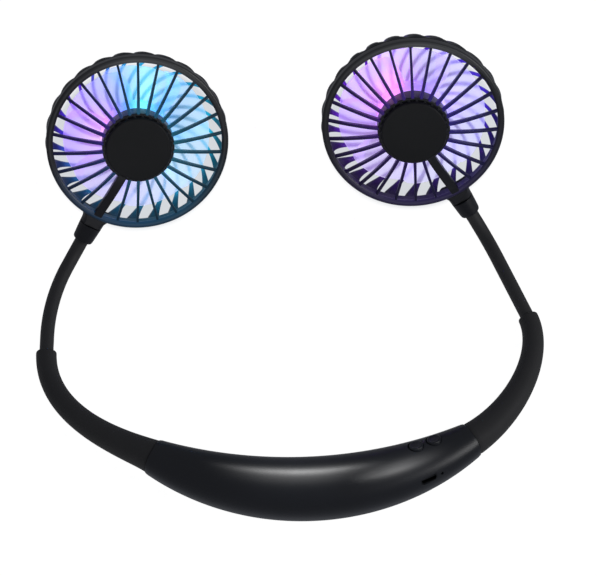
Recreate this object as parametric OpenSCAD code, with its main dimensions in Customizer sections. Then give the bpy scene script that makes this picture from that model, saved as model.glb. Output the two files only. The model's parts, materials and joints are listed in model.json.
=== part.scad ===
/* [Pod] */
// Radius of the pod's curved centreline, seen from above
pod_bend_r = 142; // [136:1:150]
// Straight distance between the pod's two ends
pod_span = 141.4; // [138:0.2:146]
// Depth of the pod in its middle, from neck side to outer side
pod_depth = 28; // [27:0.5:32]
// Height of the pod in its middle, before its underside is cut flat
pod_height = 24.2; // [23.8:0.2:27]
// Depth of the pod at its ends
pod_end_depth = 15.8; // [15.6:0.2:17.6]
// Height of the pod at its ends
pod_end_height = 16.2; // [15.6:0.2:17]
// Wall thickness of both pod shells
pod_wall = 1.8; // [1.4:0.1:2]
// How much of the pod's roundness is cut off to make its rest face
rest_cut = 0.3; // [0.2:0.05:0.5]
// Height of the parting line above the table
parting_z = 8; // [7:0.25:9]

/* [Buttons and socket] */
// Diameter of the two push buttons
button_d = 6.6; // [5.6:0.1:7]
// Distance between the centres of the two buttons
button_pitch = 8.5; // [8.3:0.1:8.8]
// How far a button stands above the pod
button_proud = 0.5; // [0.4:0.1:1]
// Travel of a button
button_travel = 0.5; // [0.3:0.05:0.6]
// Distance from the pod's end back to the middle of the circuit board
board_inset = 21.1; // [20.8:0.1:22]
// Lean of the circuit board towards the neck side
board_lean = 35; // [32:1:37]
// Width of the charging socket's mouth
usb_w = 7.6; // [7:0.1:8]
// Height of the charging socket's mouth
usb_h = 2.6; // [2.4:0.1:2.8]
// Place of the charging socket along the circuit board, from the board's middle
usb_shift = -5.3; // [-5.6:0.1:-4.6]
// Depth of the charging socket
usb_depth = 5.8; // [5.4:0.1:6.2]
// Diameter of the charge light pipe
light_pipe_d = 1.3; // [1:0.1:1.6]
// Distance of the charge light from the socket's middle, along the pod
light_pipe_offset = 6.5; // [6:0.1:7]

/* [Inside the pod] */
// Room above and below the battery cell, inside the pod's wall
cell_room_h = 2.6; // [2.4:0.1:4.4]
// Room between the battery cell and the circuit board, for the leads
cell_gap = 11.1; // [10:0.1:16]
// Length of the circuit board
board_len = 20.4; // [19.8:0.1:20.8]
// Thickness of the circuit board
board_t = 1; // [0.8:0.1:1.2]
// Shank diameter of the pod screws
screw_d = 1.8; // [1.6:0.1:2]
// Head diameter of the pod screws
screw_head_d = 3.4; // [3:0.1:3.6]

/* [Sleeves] */
// Sideways place of the left sleeve's mouth
left_mouth_x = 118.5; // [112:0.5:121]
// Forward place of the left sleeve's mouth
left_mouth_y = 75; // [70:0.5:80]
// Sideways place of the right sleeve's mouth
right_mouth_x = 103; // [100:0.5:112]
// Forward place of the right sleeve's mouth
right_mouth_y = 80.5; // [76:0.5:84]
// Outside diameter of the sleeve at its mouth
mouth_d = 9.4; // [9:0.1:10.4]
// Depth and height of the sleeve where it leaves the pod
sleeve_root = 15; // [14:0.1:15.2]
// Inward heading of the left mouth
left_mouth_yaw = 2.4; // [0:0.2:20]
// Inward heading of the right mouth
right_mouth_yaw = 19.2; // [10:0.2:22]

/* [Necks] */
// Outside diameter of the neck's cover
neck_d = 6.4; // [6:0.1:6.8]
// Diameter of the bendable core
core_d = 4.2; // [3.8:0.1:4.4]
// Diameter of the motor lead inside the core
lead_d = 1.8; // [1.4:0.1:2]
// Straight stretch of the left neck beyond its mouth
left_straight = 7.5; // [6:0.5:12]
// Bend radius of the left neck
left_bend_r = 89; // [80:1:120]
// Sideways turn of the left neck's long bend
left_bend_turn = 24.4; // [20:0.2:28]
// Further sideways turn of the left neck as it rises
left_rise_turn = 16; // [8:1:20]
// Rise angle of the left neck
left_climb_turn = 39.6; // [34:0.2:46]
// Straight stretch of the right neck beyond its mouth
right_straight = 32.5; // [26:0.5:36]
// Bend radius of the right neck
right_bend_r = 260; // [200:5:280]
// Sideways turn of the right neck's long bend
right_bend_turn = 2; // [1.6:0.2:4]
// Further sideways turn of the right neck as it rises
right_rise_turn = 23.3; // [14:0.1:26]
// Rise angle of the right neck
right_climb_turn = 46.8; // [40:0.2:50]
// Bend radius of each neck where it rises to its head
rise_r = 20; // [17:0.5:24]

/* [Collars] */
// Diameter of the collar at its head end
collar_d = 10.8; // [10.4:0.1:12]
// Diameter of the collar at its neck end
collar_neck_d = 9.2; // [8.8:0.1:10]
// Length of the collar
collar_len = 8.5; // [7.8:0.1:9]
// Diameter of the head's hollow stem
stem_d = 4.8; // [4.4:0.1:5]
// Swivel angle of the left head in the collar
left_head_turn = 12; // [-80:1:80]
// Swivel angle of the right head in the collar
right_head_turn = -7; // [-80:1:80]

/* [Heads] */
// Outside radius of the head's rim
rim_r = 41.7; // [41.4:0.1:43.4]
// Width of the rim's face around the opening
rim_face = 3.1; // [2.5:0.1:3.3]
// Depth of the front grille's rim
rim_h = 4.4; // [4.2:0.1:5]
// Depth of a head from its opening to the back of the swirl cover
head_h = 20; // [19.6:0.1:24]
// Number of rib places around a head, one of them the wide wire arm
rib_count = 26; // [20:1:28]
// Width of a thin rib
rib_w = 1.05; // [0.8:0.05:1.2]
// Axial depth of a thin rib
rib_h = 2.4; // [2:0.1:2.8]
// Width of the wire arm
arm_w = 4; // [3.6:0.1:5]
// Radius of the hub cup
hub_r = 16.5; // [15.8:0.1:16.8]
// Height of the hub cup's front above the opening
hub_z = 5; // [4.6:0.1:5.6]
// Width of the hub cup's edge that shows around the hub cap
cap_inset = 1.5; // [1.2:0.1:1.6]
// Height of the hub cap above the hub cup
cap_h = 2.5; // [2:0.1:3]
// Number of swirl ribs in the far cover
swirl_count = 26; // [20:1:28]
// Width of a swirl rib
swirl_w = 1.3; // [1:0.1:1.5]
// Radius of a swirl rib's curve
swirl_bend_r = 26; // [24:0.5:30]
// Radius of the closed disc in the middle of the swirl cover
swirl_disc_r = 12.5; // [11:0.5:14]
// Turn that unlocks the swirl cover
unlock_turn = 18; // [15:1:20]

/* [Impellers] */
// Clearance around the impeller's tips, inside the grille's opening
tip_gap = 4.8; // [4.2:0.1:7]
// Number of blades
blade_count = 7; // [5:1:9]
// Pitch of a blade
blade_pitch = 27; // [24:1:34]
// Thickness of a blade
blade_t = 1.1; // [0.8:0.1:1.4]
// Axial depth of the blades
blade_h = 9.6; // [8:0.1:10.2]
// Radius of the motor can
motor_r = 11.8; // [11:0.1:12.4]
// Length of the motor can
motor_h = 6.2; // [5.8:0.1:6.4]
// Diameter of the motor shaft
shaft_d = 1.5; // [1.2:0.1:1.8]
// Number of light-emitting diodes in a head
led_count = 4; // [3:1:6]

/* [Hidden] */
$fn = 64;

// Each side is told apart by its sign along the pod: minus is left and plus is right.
LEFT = -1;
RIGHT = 1;

// Clearances and overruns
slide_gap = 0.3;
fit_gap = 0.15;
run_gap = 0.03;
cut_over = 1;

// Pod section: a rounded box whose size falls towards the ends
pod_round = 2.4;
pod_swell = 2.02;
pod_steps = 28;
pod_ring = 18;
pod_mid_z = pod_height / 2 - rest_cut;
pod_half_turn = asin(pod_span / 2 / pod_bend_r);
board_turn = pod_half_turn - asin(board_inset / pod_bend_r);
parting_drop = pod_mid_z - parting_z;

// Circuit board and what is on it, measured in the leaning frame of the board
board_inner = 5.2;
board_outer = 6.8;
board_top = -1.3;
tact_w = 4.4;
tact_h = 3.4;
stem_r = 1.2;
flange_t = 0.8;
flange_over = 0.7;
button_gap = 0.2;
post_r = 1.6;
dish_share = 0.8;
screw_low_share = 0.72;
cradle_share = 1 / 3;
board_screw_d = 1.2;
board_screw_len = 3.4;
board_screw_head_d = 2.4;
board_screw_head_t = 0.6;
screw_head_t = 1;
screw_len = 9;
screw_inset = 3.2;
screw_side = 5;
screw_boss_r = 1.75;
clamp_t = 3;
tab_t = 0.3;
cell_d = pod_height - 2 * pod_wall - cell_room_h;
cell_len = 2 * (sin(board_turn) * pod_bend_r - board_len / 2 - cell_gap - tab_t);
tab_w = 8;
cell_step = 1;
cell_nose_d = 6;
cell_shift = 1.9;
cell_cradle_t = 1.6;
chip_h = 1.1;
chip_w = 3;
chip_len = 4;

// Sleeve, core and lead
sleeve_round = 2.3;
sleeve_steps = 16;
sleeve_ring = 20;
sleeve_plug = 5;
mouth_round = 0.9;
mouth_lift = 0.15;
neck_seat = 5;
core_wall = 0.75;
core_over = 9;
lead_over = 3;
lead_out = 8.4;
tube_ring = 12;
sleeve_taper_share = 1.75;
mouth_nose_share = 0.8;
left_handle_shares = [0.15, 0.46];
right_handle_shares = [0.38, 0.27];
mouth_z = mouth_d / 2 + mouth_lift;
rest_gap = 0.03;

// Collar, stem and its clip
collar_gap = 0.3;
collar_edge = 0.5;
neck_plug = 2.1;
stem_len = 5.6;
journal_len = 2.6;
groove_inset = 1.6;
groove_w = 0.9;
groove_depth = 0.4;
clip_t = 0.7;
clip_over = 0.75;
clip_turn = 300;
boss_len = 4;
boss_flare = 1.4;
stem_bore_d = 2.6;

// Head profile, measured from the plane of the near opening
collar_z = -5;
rim_round = 1.45;
skirt_wall = 1;
spigot_wall = 1.1;
spigot_lip = 1.6;
lug_out = 0.7;
lug_t = 1;
lug_turn = 8;
lug_play = 1;
lug_count = 3;
lug_first = 90;
lug_z = -3.1;
band_h = 2.3;
scallop_r = 4;
scallop_out = 0.35;
bowl_wall = 1.8;
bowl_overlap = 0.6;
swirl_start_share = 0.8;
hub_wall = 1.6;
hub_floor_t = 1.4;
hub_back_z = -3.2;
cap_bevel = 0.7;
cap_lip_h = 1.8;
cap_lip_wall = 1.2;
arm_top = 0.5;
arm_h = 3.6;
wire_w = 1.8;
wire_t = 1.2;
dome_share = 1.5;
dome_steps = 8;
rim_rib_z = -0.5;
motor_boss_r = 3;
bush_wall = 0.9;
bush_len = 2.2;
led_board_t = 0.8;
led_w = 3;
led_h = 1.2;
led_board_r = 14.4;
led_ring_r = 12.4;
impeller_hub_wall = 1.1;
impeller_front_z = -3.9;
impeller_back_z = -15.4;
impeller_boss_r = 2.6;
impeller_boss_h = 5;
blade_back_gap = 0.3;
shaft_inside = 4;
spigot_r = rim_r - skirt_wall - slide_gap;
opening_r = rim_r - rim_face;
cap_r = hub_r - cap_inset;
impeller_r = opening_r - tip_gap;
reach = rim_r + fit_gap + slide_gap + boss_len + collar_gap + collar_len;
shell_top_z = -rim_h - slide_gap;

// Size of the pod's section at a share of the way from its middle to an end
function pod_half_depth(t) = (pod_depth - (pod_depth - pod_end_depth) * pow(abs(t), pod_swell)) / 2;
function pod_half_height(t) = (pod_height - (pod_height - pod_end_height) * pow(abs(t), pod_swell)) / 2;

// Point of the centreline at an angle, and a point of the section there
function pod_point(turn, u, z) = [
    (pod_bend_r - u) * sin(turn), pod_bend_r - (pod_bend_r - u) * cos(turn), pod_mid_z + z
];
function side_of(v) = v < 0 ? -1 : 1;
function rounded(v, bulge) = side_of(v) * pow(abs(v), 2 / bulge);

// Angle at which a section of this half height meets the parting plane
function parting_angle(half_h) = -asin(pow(parting_drop / half_h, pod_round / 2));

// One point of a pod shell: upper runs over the top, lower runs underneath
function shell_angle(upper, half_h, i) =
    let (a = parting_angle(half_h), low = upper ? a : 180 - a, high = upper ? 180 - a : 360 + a)
    low + (high - low) * i / pod_ring;
function shell_point(upper, t, i, inset) =
    let (w = pod_half_depth(t) - inset, h = pod_half_height(t) - inset, a = shell_angle(upper, h, i))
    pod_point(t * pod_half_turn, -w * rounded(cos(a), pod_round), h * rounded(sin(a), pod_round));

// Triangles of a grid of points whose rows are joined one to the next
function grid_faces(rows, cols, base, flip) = [
    for (i = [0 : rows - 2]) for (j = [0 : cols - 2])
        let (a = base + i * cols + j, b = a + 1, c = a + cols, d = c + 1)
        each (flip ? [[a, b, d], [a, d, c]] : [[a, d, b], [a, c, d]])
];
function strip_faces(a, b, flip) = [
    for (i = [0 : len(a) - 2])
        each (flip ? [[a[i], b[i + 1], a[i + 1]], [a[i], b[i], b[i + 1]]]
            : [[a[i], a[i + 1], b[i + 1]], [a[i], b[i + 1], b[i]]])
];

function raised(list, by) = [for (v = list) v + by];

// Wall between an outer and an inner surface, open along its parting edges
module pod_wall_half(upper) {
    rows = pod_steps + 1;
    cols = pod_ring + 1;
    places = [for (k = [0 : pod_steps]) 2 * k / pod_steps - 1];
    outer = [for (t = places) for (i = [0 : pod_ring]) shell_point(upper, t, i, 0)];
    inner = [for (t = places) for (i = [0 : pod_ring]) shell_point(upper, t, i, pod_wall)];
    n = rows * cols;
    first = [for (i = [0 : cols - 1]) i];
    last = [for (i = [0 : cols - 1]) (rows - 1) * cols + i];
    low = [for (k = [0 : rows - 1]) k * cols];
    high = [for (k = [0 : rows - 1]) k * cols + cols - 1];
    polyhedron(
        points = concat(outer, inner),
        faces = concat(
            grid_faces(rows, cols, 0, true),
            grid_faces(rows, cols, n, false),
            strip_faces(first, raised(first, n), false),
            strip_faces(last, raised(last, n), true),
            strip_faces(low, raised(low, n), true),
            strip_faces(high, raised(high, n), false)
        )
    );
}

// Frames along the pod: X runs along the centreline, Y points to the neck side
module at_pod(turn) {
    translate(pod_point(turn, 0, 0)) rotate([0, 0, turn]) children();
}
module at_board() {
    at_pod(board_turn) rotate([-board_lean, 0, 0]) children();
}

// Reach of the pod's outer surface from its centreline, in a direction that leans from straight up
function pod_reach(t, lean, inset) =
    let (w = pod_half_depth(t) - inset, h = pod_half_height(t) - inset)
    1 / pow(pow(abs(sin(lean)) / w, pod_round) + pow(abs(cos(lean)) / h, pod_round), 1 / pod_round);
function board_place(offset) = (board_turn + asin(offset / pod_bend_r)) / pod_half_turn;
function button_surface(offset) = pod_reach(board_place(offset), board_lean, 0);
function flange_z(offset) = pod_reach(board_place(offset), board_lean, pod_wall * 3 / 2) - slide_gap;
usb_surface = pod_reach(board_place(usb_shift), 90 - board_lean, 0);
usb_inner = pod_reach(board_place(usb_shift), 90 - board_lean, pod_wall);
pipe_x = usb_shift + light_pipe_offset;
pipe_surface = pod_reach(board_place(pipe_x), 90 - board_lean, 0);
pipe_inner = pod_reach(board_place(pipe_x), 90 - board_lean, pod_wall);
stem_low = board_top + tact_h + button_travel + slide_gap;
usb_mid_z = board_top + usb_h / 2;
fan_x = -button_pitch / 2;
light_x = button_pitch / 2;

module button_hole(offset) {
    translate([offset, 0, 0]) {
        translate([0, 0, board_top]) cylinder(d = button_d + 2 * button_gap, h = 2 * pod_height);
        cylinder(r = button_d / 2 + flange_over + button_gap, h = flange_z(offset) + button_gap);
    }
}

module push_button(offset) {
    top = button_surface(offset) + button_proud;
    low = flange_z(offset) - flange_t;
    at_board() translate([offset, 0, 0]) difference() {
        union() {
            translate([0, 0, low]) cylinder(d = button_d, h = top - low);
            translate([0, 0, low]) cylinder(r = button_d / 2 + flange_over, h = flange_t);
            translate([0, 0, stem_low]) cylinder(r = stem_r, h = low + flange_t - stem_low);
        }
        translate([0, 0, top]) scale([1, 1, button_proud / button_d]) sphere(d = button_d * dish_share);
    }
}

// Screw places: a pair at each end of the pod, one on each side of the core
screw_turn = pod_half_turn - asin((sleeve_plug + screw_inset) / pod_bend_r);
module at_pod_screws() {
    for (side = [LEFT, RIGHT]) for (u = [-screw_side, screw_side])
        at_pod(side * screw_turn) translate([0, u, -pod_mid_z]) children();
}
screw_turn_share = screw_turn / pod_half_turn;
screw_head_z = pod_mid_z - pod_half_height(screw_turn_share) * screw_low_share;

// A cross wall that holds the core where it enters the pod
module clamp_wall(low, high) {
    for (side = [LEFT, RIGHT]) at_pod(side * screw_turn)
        translate([-clamp_t / 2, -screw_side, low - pod_mid_z]) cube([clamp_t, 2 * screw_side, high - low]);
}

module pod_inside() {
    hull_t = pod_wall / 2;
    outer = [for (k = [0 : pod_steps]) for (i = [0 : 2 * pod_ring - 1])
        let (t = 2 * k / pod_steps - 1, a = 180 * i / pod_ring)
        pod_point(
            t * pod_half_turn,
            -(pod_half_depth(t) - hull_t) * rounded(cos(a), pod_round),
            (pod_half_height(t) - hull_t) * rounded(sin(a), pod_round)
        )];
    polyhedron(points = outer, faces = ring_faces(pod_steps + 1, 2 * pod_ring, true));
}

// Triangles of closed rings joined one to the next, with flat ends when capped
function ring_faces(rows, cols, capped) = concat(
    [for (i = [0 : rows - 2]) for (j = [0 : cols - 1])
        let (k = (j + 1) % cols, a = i * cols + j, b = i * cols + k, c = a + cols, d = b + cols)
        each [[a, b, d], [a, d, c]]],
    capped ? [for (j = [1 : cols - 2]) [0, j + 1, j]] : [],
    capped ? [for (j = [1 : cols - 2]) let (b = (rows - 1) * cols) [b, b + j, b + j + 1]] : []
);

module pod_upper_shell() {
    color("#17181a") difference() {
        union() {
            pod_wall_half(true);
            intersection() {
                pod_inside();
                union() {
                    at_pod_screws() translate([0, 0, parting_z]) cylinder(r = screw_boss_r, h = pod_height);
                    clamp_wall(parting_z, pod_height);
                }
            }
        }
        at_board() {
            button_hole(fan_x);
            button_hole(light_x);
            translate([usb_shift - usb_w / 2 - fit_gap, -2 * usb_surface, usb_mid_z - usb_h / 2 - fit_gap])
                cube([usb_w + 2 * fit_gap, 2 * usb_surface - board_inner, usb_h + 2 * fit_gap]);
            translate([pipe_x, 0, usb_mid_z]) rotate([90, 0, 0])
                cylinder(d = light_pipe_d + 2 * run_gap, h = 2 * usb_surface);
        }
        at_pod_screws() cylinder(d = screw_d, h = screw_head_z + screw_head_t + screw_len);
        for (side = [LEFT, RIGHT]) at_pod(side * screw_turn) {
            rotate([0, 90, 0]) cylinder(d = core_d + 2 * fit_gap, h = 2 * clamp_t, center = true);
            translate([-clamp_t, -core_d / 2 - fit_gap, -pod_mid_z])
                cube([2 * clamp_t, core_d + 2 * fit_gap, pod_mid_z]);
        }
    }
}

// Places of the board's two posts, outside its switches
module at_posts(z) {
    for (side = [LEFT, RIGHT])
        translate([side * (board_len / 2 - post_r * 3 / 2), board_inner - 2 * post_r, z]) children();
}
module board_posts(low, high, r) {
    at_posts(low) cylinder(r = r, h = high - low);
}

module pod_lower_shell() {
    color("#141517") difference() {
        union() {
            pod_wall_half(false);
            intersection() {
                pod_inside();
                union() {
                    at_board() board_posts(-pod_height, board_top - board_t, post_r);
                    intersection() {
                        union() {
                            at_pod_screws() cylinder(r = screw_boss_r, h = parting_z - fit_gap);
                            clamp_wall(0, parting_z - fit_gap);
                            for (side = [LEFT, RIGHT])
                                translate([side * cell_len * cradle_share, cell_shift - cell_d / 2, 0])
                                    cube([cell_cradle_t, cell_d, parting_z - cut_over]);
                        }
                        translate([-pod_span, -pod_depth, 0]) cube([2 * pod_span, 3 * pod_depth, parting_z]);
                    }
                }
            }
            for (side = [LEFT, RIGHT]) at_pod(side * screw_turn)
                translate([-clamp_t / 2, -core_d / 2, parting_z - pod_mid_z - cut_over])
                    cube([clamp_t, core_d, parting_drop - core_d / 2 - fit_gap + cut_over]);
        }
        translate([-pod_span, -pod_span, -pod_height]) cube([2 * pod_span, 2 * pod_span, pod_height]);
        at_pod_screws() cylinder(d = screw_d + 2 * fit_gap, h = pod_height);
        at_pod_screws() translate([0, 0, -cut_over])
            cylinder(d = screw_head_d + 2 * fit_gap, h = screw_head_z + screw_head_t + cut_over);
        cell_room(slide_gap);
        at_board() board_posts(board_top - board_t - board_screw_len, board_top, board_screw_d / 2);
    }
}

module cell_room(gap) {
    translate([-cell_len / 2 - gap, cell_shift, pod_mid_z]) rotate([0, 90, 0])
        cylinder(d = cell_d + 2 * gap, h = cell_len + 2 * gap);
}

module fan_button() {
    color("#1b1c1e") push_button(fan_x);
}

module light_button() {
    color("#1b1c1e") push_button(light_x);
}

module usb_socket() {
    color("#8b8d90") at_board() translate([usb_shift, -usb_surface + slide_gap, usb_mid_z]) difference() {
        translate([-usb_w / 2, 0, -usb_h / 2]) cube([usb_w, usb_depth, usb_h]);
        translate([-usb_w / 2 + tab_t, -cut_over, -usb_h / 2 + tab_t])
            cube([usb_w - 2 * tab_t, usb_depth + cut_over - tab_t, usb_h - 2 * tab_t]);
    }
}

module charge_light_pipe() {
    color("#c9d3d8") at_board() translate([pipe_x, -pipe_inner + cut_over, usb_mid_z]) rotate([90, 0, 0])
        cylinder(d = light_pipe_d, h = pipe_surface - pipe_inner + cut_over - slide_gap);
}

module circuit_board() {
    color("#1f5a37") at_board() difference() {
        translate([-board_len / 2, -board_outer, board_top - board_t])
            cube([board_len, board_outer + board_inner, board_t]);
        board_posts(board_top - board_t - cut_over, board_top + cut_over, board_screw_d / 2 + fit_gap);
    }
}

module tact_switches() {
    color("#2c2d30") at_board() for (x = [fan_x, light_x]) translate([x, 0, board_top]) {
        translate([-tact_w / 2, -tact_w / 2, 0]) cube([tact_w, tact_w, tact_h - flange_t]);
        cylinder(r = stem_r, h = tact_h);
    }
}

module board_chips() {
    color("#101113") at_board() {
        translate([-board_len / 2 + chip_h / 2, -usb_surface + usb_depth + 3 * slide_gap, board_top])
            cube([chip_w, chip_len, chip_h]);
        translate([pipe_x - chip_h, -pipe_inner + cut_over + slide_gap, board_top])
            cube([2 * chip_h, chip_h, usb_h / 2 + light_pipe_d / 2]);
    }
}

module battery_cell() {
    color("#3a6ea5") {
        cell_room(0);
    }
}

module battery_tabs() {
    color("silver") for (side = [LEFT, RIGHT])
        translate([
            side * (cell_len / 2 + tab_t / 2) - tab_t / 2,
            cell_shift - tab_w / 2,
            pod_mid_z - tab_w / 2
        ])
            cube([tab_t, tab_w, tab_w]);
}

// Battery leads run along the pod's neck side of the cell, above it
module battery_leads() {
    lead_r = lead_d / 4;
    lead_y = pod_point(board_turn - asin(board_len / 2 / pod_bend_r), -lead_out, 0)[1];
    color("#a8231f") translate([cell_len / 2 + tab_t, lead_y, pod_mid_z]) rotate([0, 90, 0])
        cylinder(r = lead_r, h = cell_gap - lead_r);
    color("#202124") difference() {
        translate([-cell_len / 2 - tab_t - 2 * lead_r, lead_y - lead_r, pod_mid_z - tab_w / 2])
            cube([cell_len + 2 * tab_t + 4 * lead_r, 2 * lead_r, tab_w]);
        cell_room(tab_t);
    }
}

module screw(shank_d, shank_len, head_d, head_t) {
    translate([0, 0, -head_t]) cylinder(d = head_d, h = head_t);
    cylinder(d = shank_d, h = shank_len);
}

module pod_screws() {
    color("#6f7276") at_pod_screws() translate([0, 0, screw_head_z + screw_head_t])
        screw(screw_d, screw_len, screw_head_d, screw_head_t);
}

module board_screws() {
    color("#8d9094") at_board() at_posts(board_top) rotate([180, 0, 0])
        screw(board_screw_d, board_screw_len, board_screw_head_d, board_screw_head_t);
}

// Shape values of each side
function mouth_x(side) = side == LEFT ? left_mouth_x : right_mouth_x;
function mouth_y(side) = side == LEFT ? left_mouth_y : right_mouth_y;
function mouth_yaw(side) = side == LEFT ? left_mouth_yaw : right_mouth_yaw;
function straight(side) = side == LEFT ? left_straight : right_straight;
function bend_r(side) = side == LEFT ? left_bend_r : right_bend_r;
function bend_turn(side) = side == LEFT ? left_bend_turn : right_bend_turn;
function rise_turn(side) = side == LEFT ? left_rise_turn : right_rise_turn;
function rise(side) = side == LEFT ? left_climb_turn : right_climb_turn;
function head_turn(side) = side == LEFT ? left_head_turn : right_head_turn;

// The neck dips from its mouth so that it rests on the table where it starts to rise
function dip(side) = asin((mouth_z - neck_d / 2 - rest_gap)
    / (straight(side) + bend_r(side) * sin(bend_turn(side))));
function rise_sweep(side) = acos(cos(rise_turn(side)) * cos(rise(side)));
function rise_tilt(side) = atan2(sin(rise(side)), sin(rise_turn(side)) * cos(rise(side)));

// Frames along a neck: Y runs along the neck, away from the pod
module at_mouth(side) {
    translate(mouth_point(side)) rotate([0, 0, side * mouth_yaw(side)])
        rotate([-dip(side), 0, 0]) children();
}
module turned(side, r, sweep) {
    translate([-side * r, 0, 0]) rotate([0, 0, side * sweep]) translate([side * r, 0, 0]) children();
}
module at_rise(side) {
    at_mouth(side) translate([0, straight(side), 0]) turned(side, bend_r(side), bend_turn(side))
        rotate([0, side * rise_tilt(side), 0]) children();
}
module at_collar(side) {
    at_rise(side) turned(side, rise_r, rise_sweep(side)) children();
}
module at_head(side) {
    at_collar(side) translate([0, reach, 0]) rotate([0, head_turn(side) - side * 90, 0])
        translate([0, 0, -collar_z]) children();
}

// A bent tube that starts at the frame's origin, forwards or backwards along its Y
module arc_tube(side, r, sweep, way, outer_d, inner_d) {
    translate([-side * r, 0, 0]) rotate([0, 0, side == RIGHT ? 0 : 180])
        rotate_extrude(angle = side * way * sweep) translate([r, 0]) difference() {
            circle(d = outer_d);
            if (inner_d > 0) circle(d = inner_d);
        }
}
module straight_tube(from, to, outer_d, inner_d) {
    translate([0, from, 0]) rotate([-90, 0, 0]) linear_extrude(to - from) difference() {
        circle(d = outer_d);
        if (inner_d > 0) circle(d = inner_d);
    }
}

// The stretch of a neck part from its mouth to where it rises
module lower_tube(side, over, outer_d, inner_d) {
    at_mouth(side) {
        straight_tube(-over, straight(side), outer_d, inner_d);
        translate([0, straight(side), 0]) arc_tube(side, bend_r(side), bend_turn(side), 1, outer_d, inner_d);
    }
}
// The stretch from there to its seat in the collar
module upper_tube(side, over, outer_d, inner_d) {
    at_collar(side) {
        arc_tube(side, rise_r, rise_sweep(side), -1, outer_d, inner_d);
        straight_tube(0, over, outer_d, inner_d);
    }
}

module cover_lower(side) {
    color("#262626") lower_tube(side, neck_seat, neck_d, core_d + 2 * fit_gap);
}
module core_lower(side) {
    color("#9a9c9f") lower_tube(side, neck_seat, core_d, core_d - 2 * core_wall);
}
module lead_lower(side) {
    color("#2f3033") lower_tube(side, neck_seat, lead_d, 0);
}
module cover_upper(side) {
    color("#262626") upper_tube(side, neck_plug, neck_d, core_d + 2 * fit_gap);
}
module core_upper(side) {
    color("#9a9c9f") upper_tube(side, neck_plug, core_d, core_d - 2 * core_wall);
}
module lead_upper(side) {
    color("#2f3033") upper_tube(side, neck_plug, lead_d, 0);
}

// Path of the sleeve from the pod's end to its mouth, a smooth curve held by two handles
function heading(side) = [
    -side * sin(mouth_yaw(side)) * cos(dip(side)), cos(mouth_yaw(side)) * cos(dip(side)), -sin(dip(side))
];
function pod_heading(side) = [side * cos(pod_half_turn), sin(pod_half_turn), 0];
function pod_end(side) = pod_point(side * pod_half_turn, 0, 0);
function mouth_point(side) = [side * mouth_x(side), mouth_y(side), mouth_z];
function sleeve_len(side) = norm(mouth_point(side) - pod_end(side));
function handle_shares(side) = side == LEFT ? left_handle_shares : right_handle_shares;
function handle_a(side) = pod_end(side) + pod_heading(side) * sleeve_len(side) * handle_shares(side)[0];
function handle_b(side) = mouth_point(side) - heading(side) * sleeve_len(side) * handle_shares(side)[1];
function sleeve_point(side, t) = pow(1 - t, 3) * pod_end(side) + 3 * pow(1 - t, 2) * t * handle_a(side)
    + 3 * (1 - t) * t * t * handle_b(side) + t * t * t * mouth_point(side);
function sleeve_way(side, t) = 3 * pow(1 - t, 2) * (handle_a(side) - pod_end(side))
    + 6 * (1 - t) * t * (handle_b(side) - handle_a(side)) + 3 * t * t * (mouth_point(side) - handle_b(side));
function unit(v) = v / norm(v);

// A rounded ring square to a direction
function ring(at, way, half_w, half_h, bulge, count) =
    let (f = unit(way), r = unit(cross(f, [0, 0, 1])), u = cross(r, f))
    [for (i = [0 : count - 1]) let (a = 360 * i / count)
        at + r * half_w * rounded(cos(a), bulge) + u * half_h * rounded(sin(a), bulge)];
function sleeve_half(t) = (sleeve_root + (mouth_d - sleeve_root) * (1 - pow(1 - t, sleeve_taper_share))) / 2;
// Share of the sleeve's path that lies this far behind its mouth
function mouth_share(side, back) =
    let (near = back / (3 * norm(mouth_point(side) - handle_b(side))))
    let (reached = (mouth_point(side) - sleeve_point(side, 1 - near)) * heading(side))
    1 - near * back / reached;
function sleeve_ring_at(side, t, half) =
    ring(
        sleeve_point(side, t), sleeve_way(side, t), half, half,
        sleeve_round + (2 - sleeve_round) * t, sleeve_ring
    );
function plug_turn(side, back) = side * (pod_half_turn - asin(back / pod_bend_r));
function plug_ring(side, back, inset) =
    let (turn = plug_turn(side, back), t = abs(turn) / pod_half_turn)
    ring(pod_point(turn, 0, 0), [side * cos(turn), side * sin(turn), 0],
        pod_half_depth(t) - inset, pod_half_height(t) - inset, pod_round, sleeve_ring);
function bore_ring(at, way, d) = ring(at, way, d / 2, d / 2, 2, sleeve_ring);

module sleeve(side) {
    plug_in = pod_wall + slide_gap;
    core_hole = core_d + 2 * fit_gap;
    neck_hole = neck_d + 2 * slide_gap;
    round_share = mouth_share(side, mouth_round);
    seat_share = mouth_share(side, neck_seat + slide_gap);
    seat = mouth_point(side) - heading(side) * (neck_seat + slide_gap);
    outer = concat(
        [plug_ring(side, sleeve_plug, plug_in), plug_ring(side, 0, plug_in)],
        [for (i = [0 : sleeve_steps]) let (t = i / sleeve_steps * round_share)
            sleeve_ring_at(side, t, sleeve_half(t))],
        [for (a = [30, 60, 90]) let (t = round_share + (1 - round_share) * sin(a))
            sleeve_ring_at(side, t, mouth_d / 2 - mouth_round * mouth_nose_share * (1 - cos(a)))]
    );
    inner = concat(
        [bore_ring(mouth_point(side), heading(side), neck_hole)],
        [bore_ring(seat, heading(side), neck_hole)],
        [bore_ring(sleeve_point(side, seat_share), heading(side), core_hole)],
        [for (i = [1 : sleeve_steps]) let (t = seat_share * (1 - i / sleeve_steps))
            bore_ring(sleeve_point(side, t), sleeve_way(side, t), core_hole)],
        [bore_ring(pod_point(plug_turn(side, sleeve_plug), 0, 0), pod_heading(side), core_hole)]
    );
    rings = concat(outer, inner);
    rows = len(rings);
    color("#232323") polyhedron(
        points = [for (r = rings) each r],
        faces = loop_faces(rows, sleeve_ring)
    );
}
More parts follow.
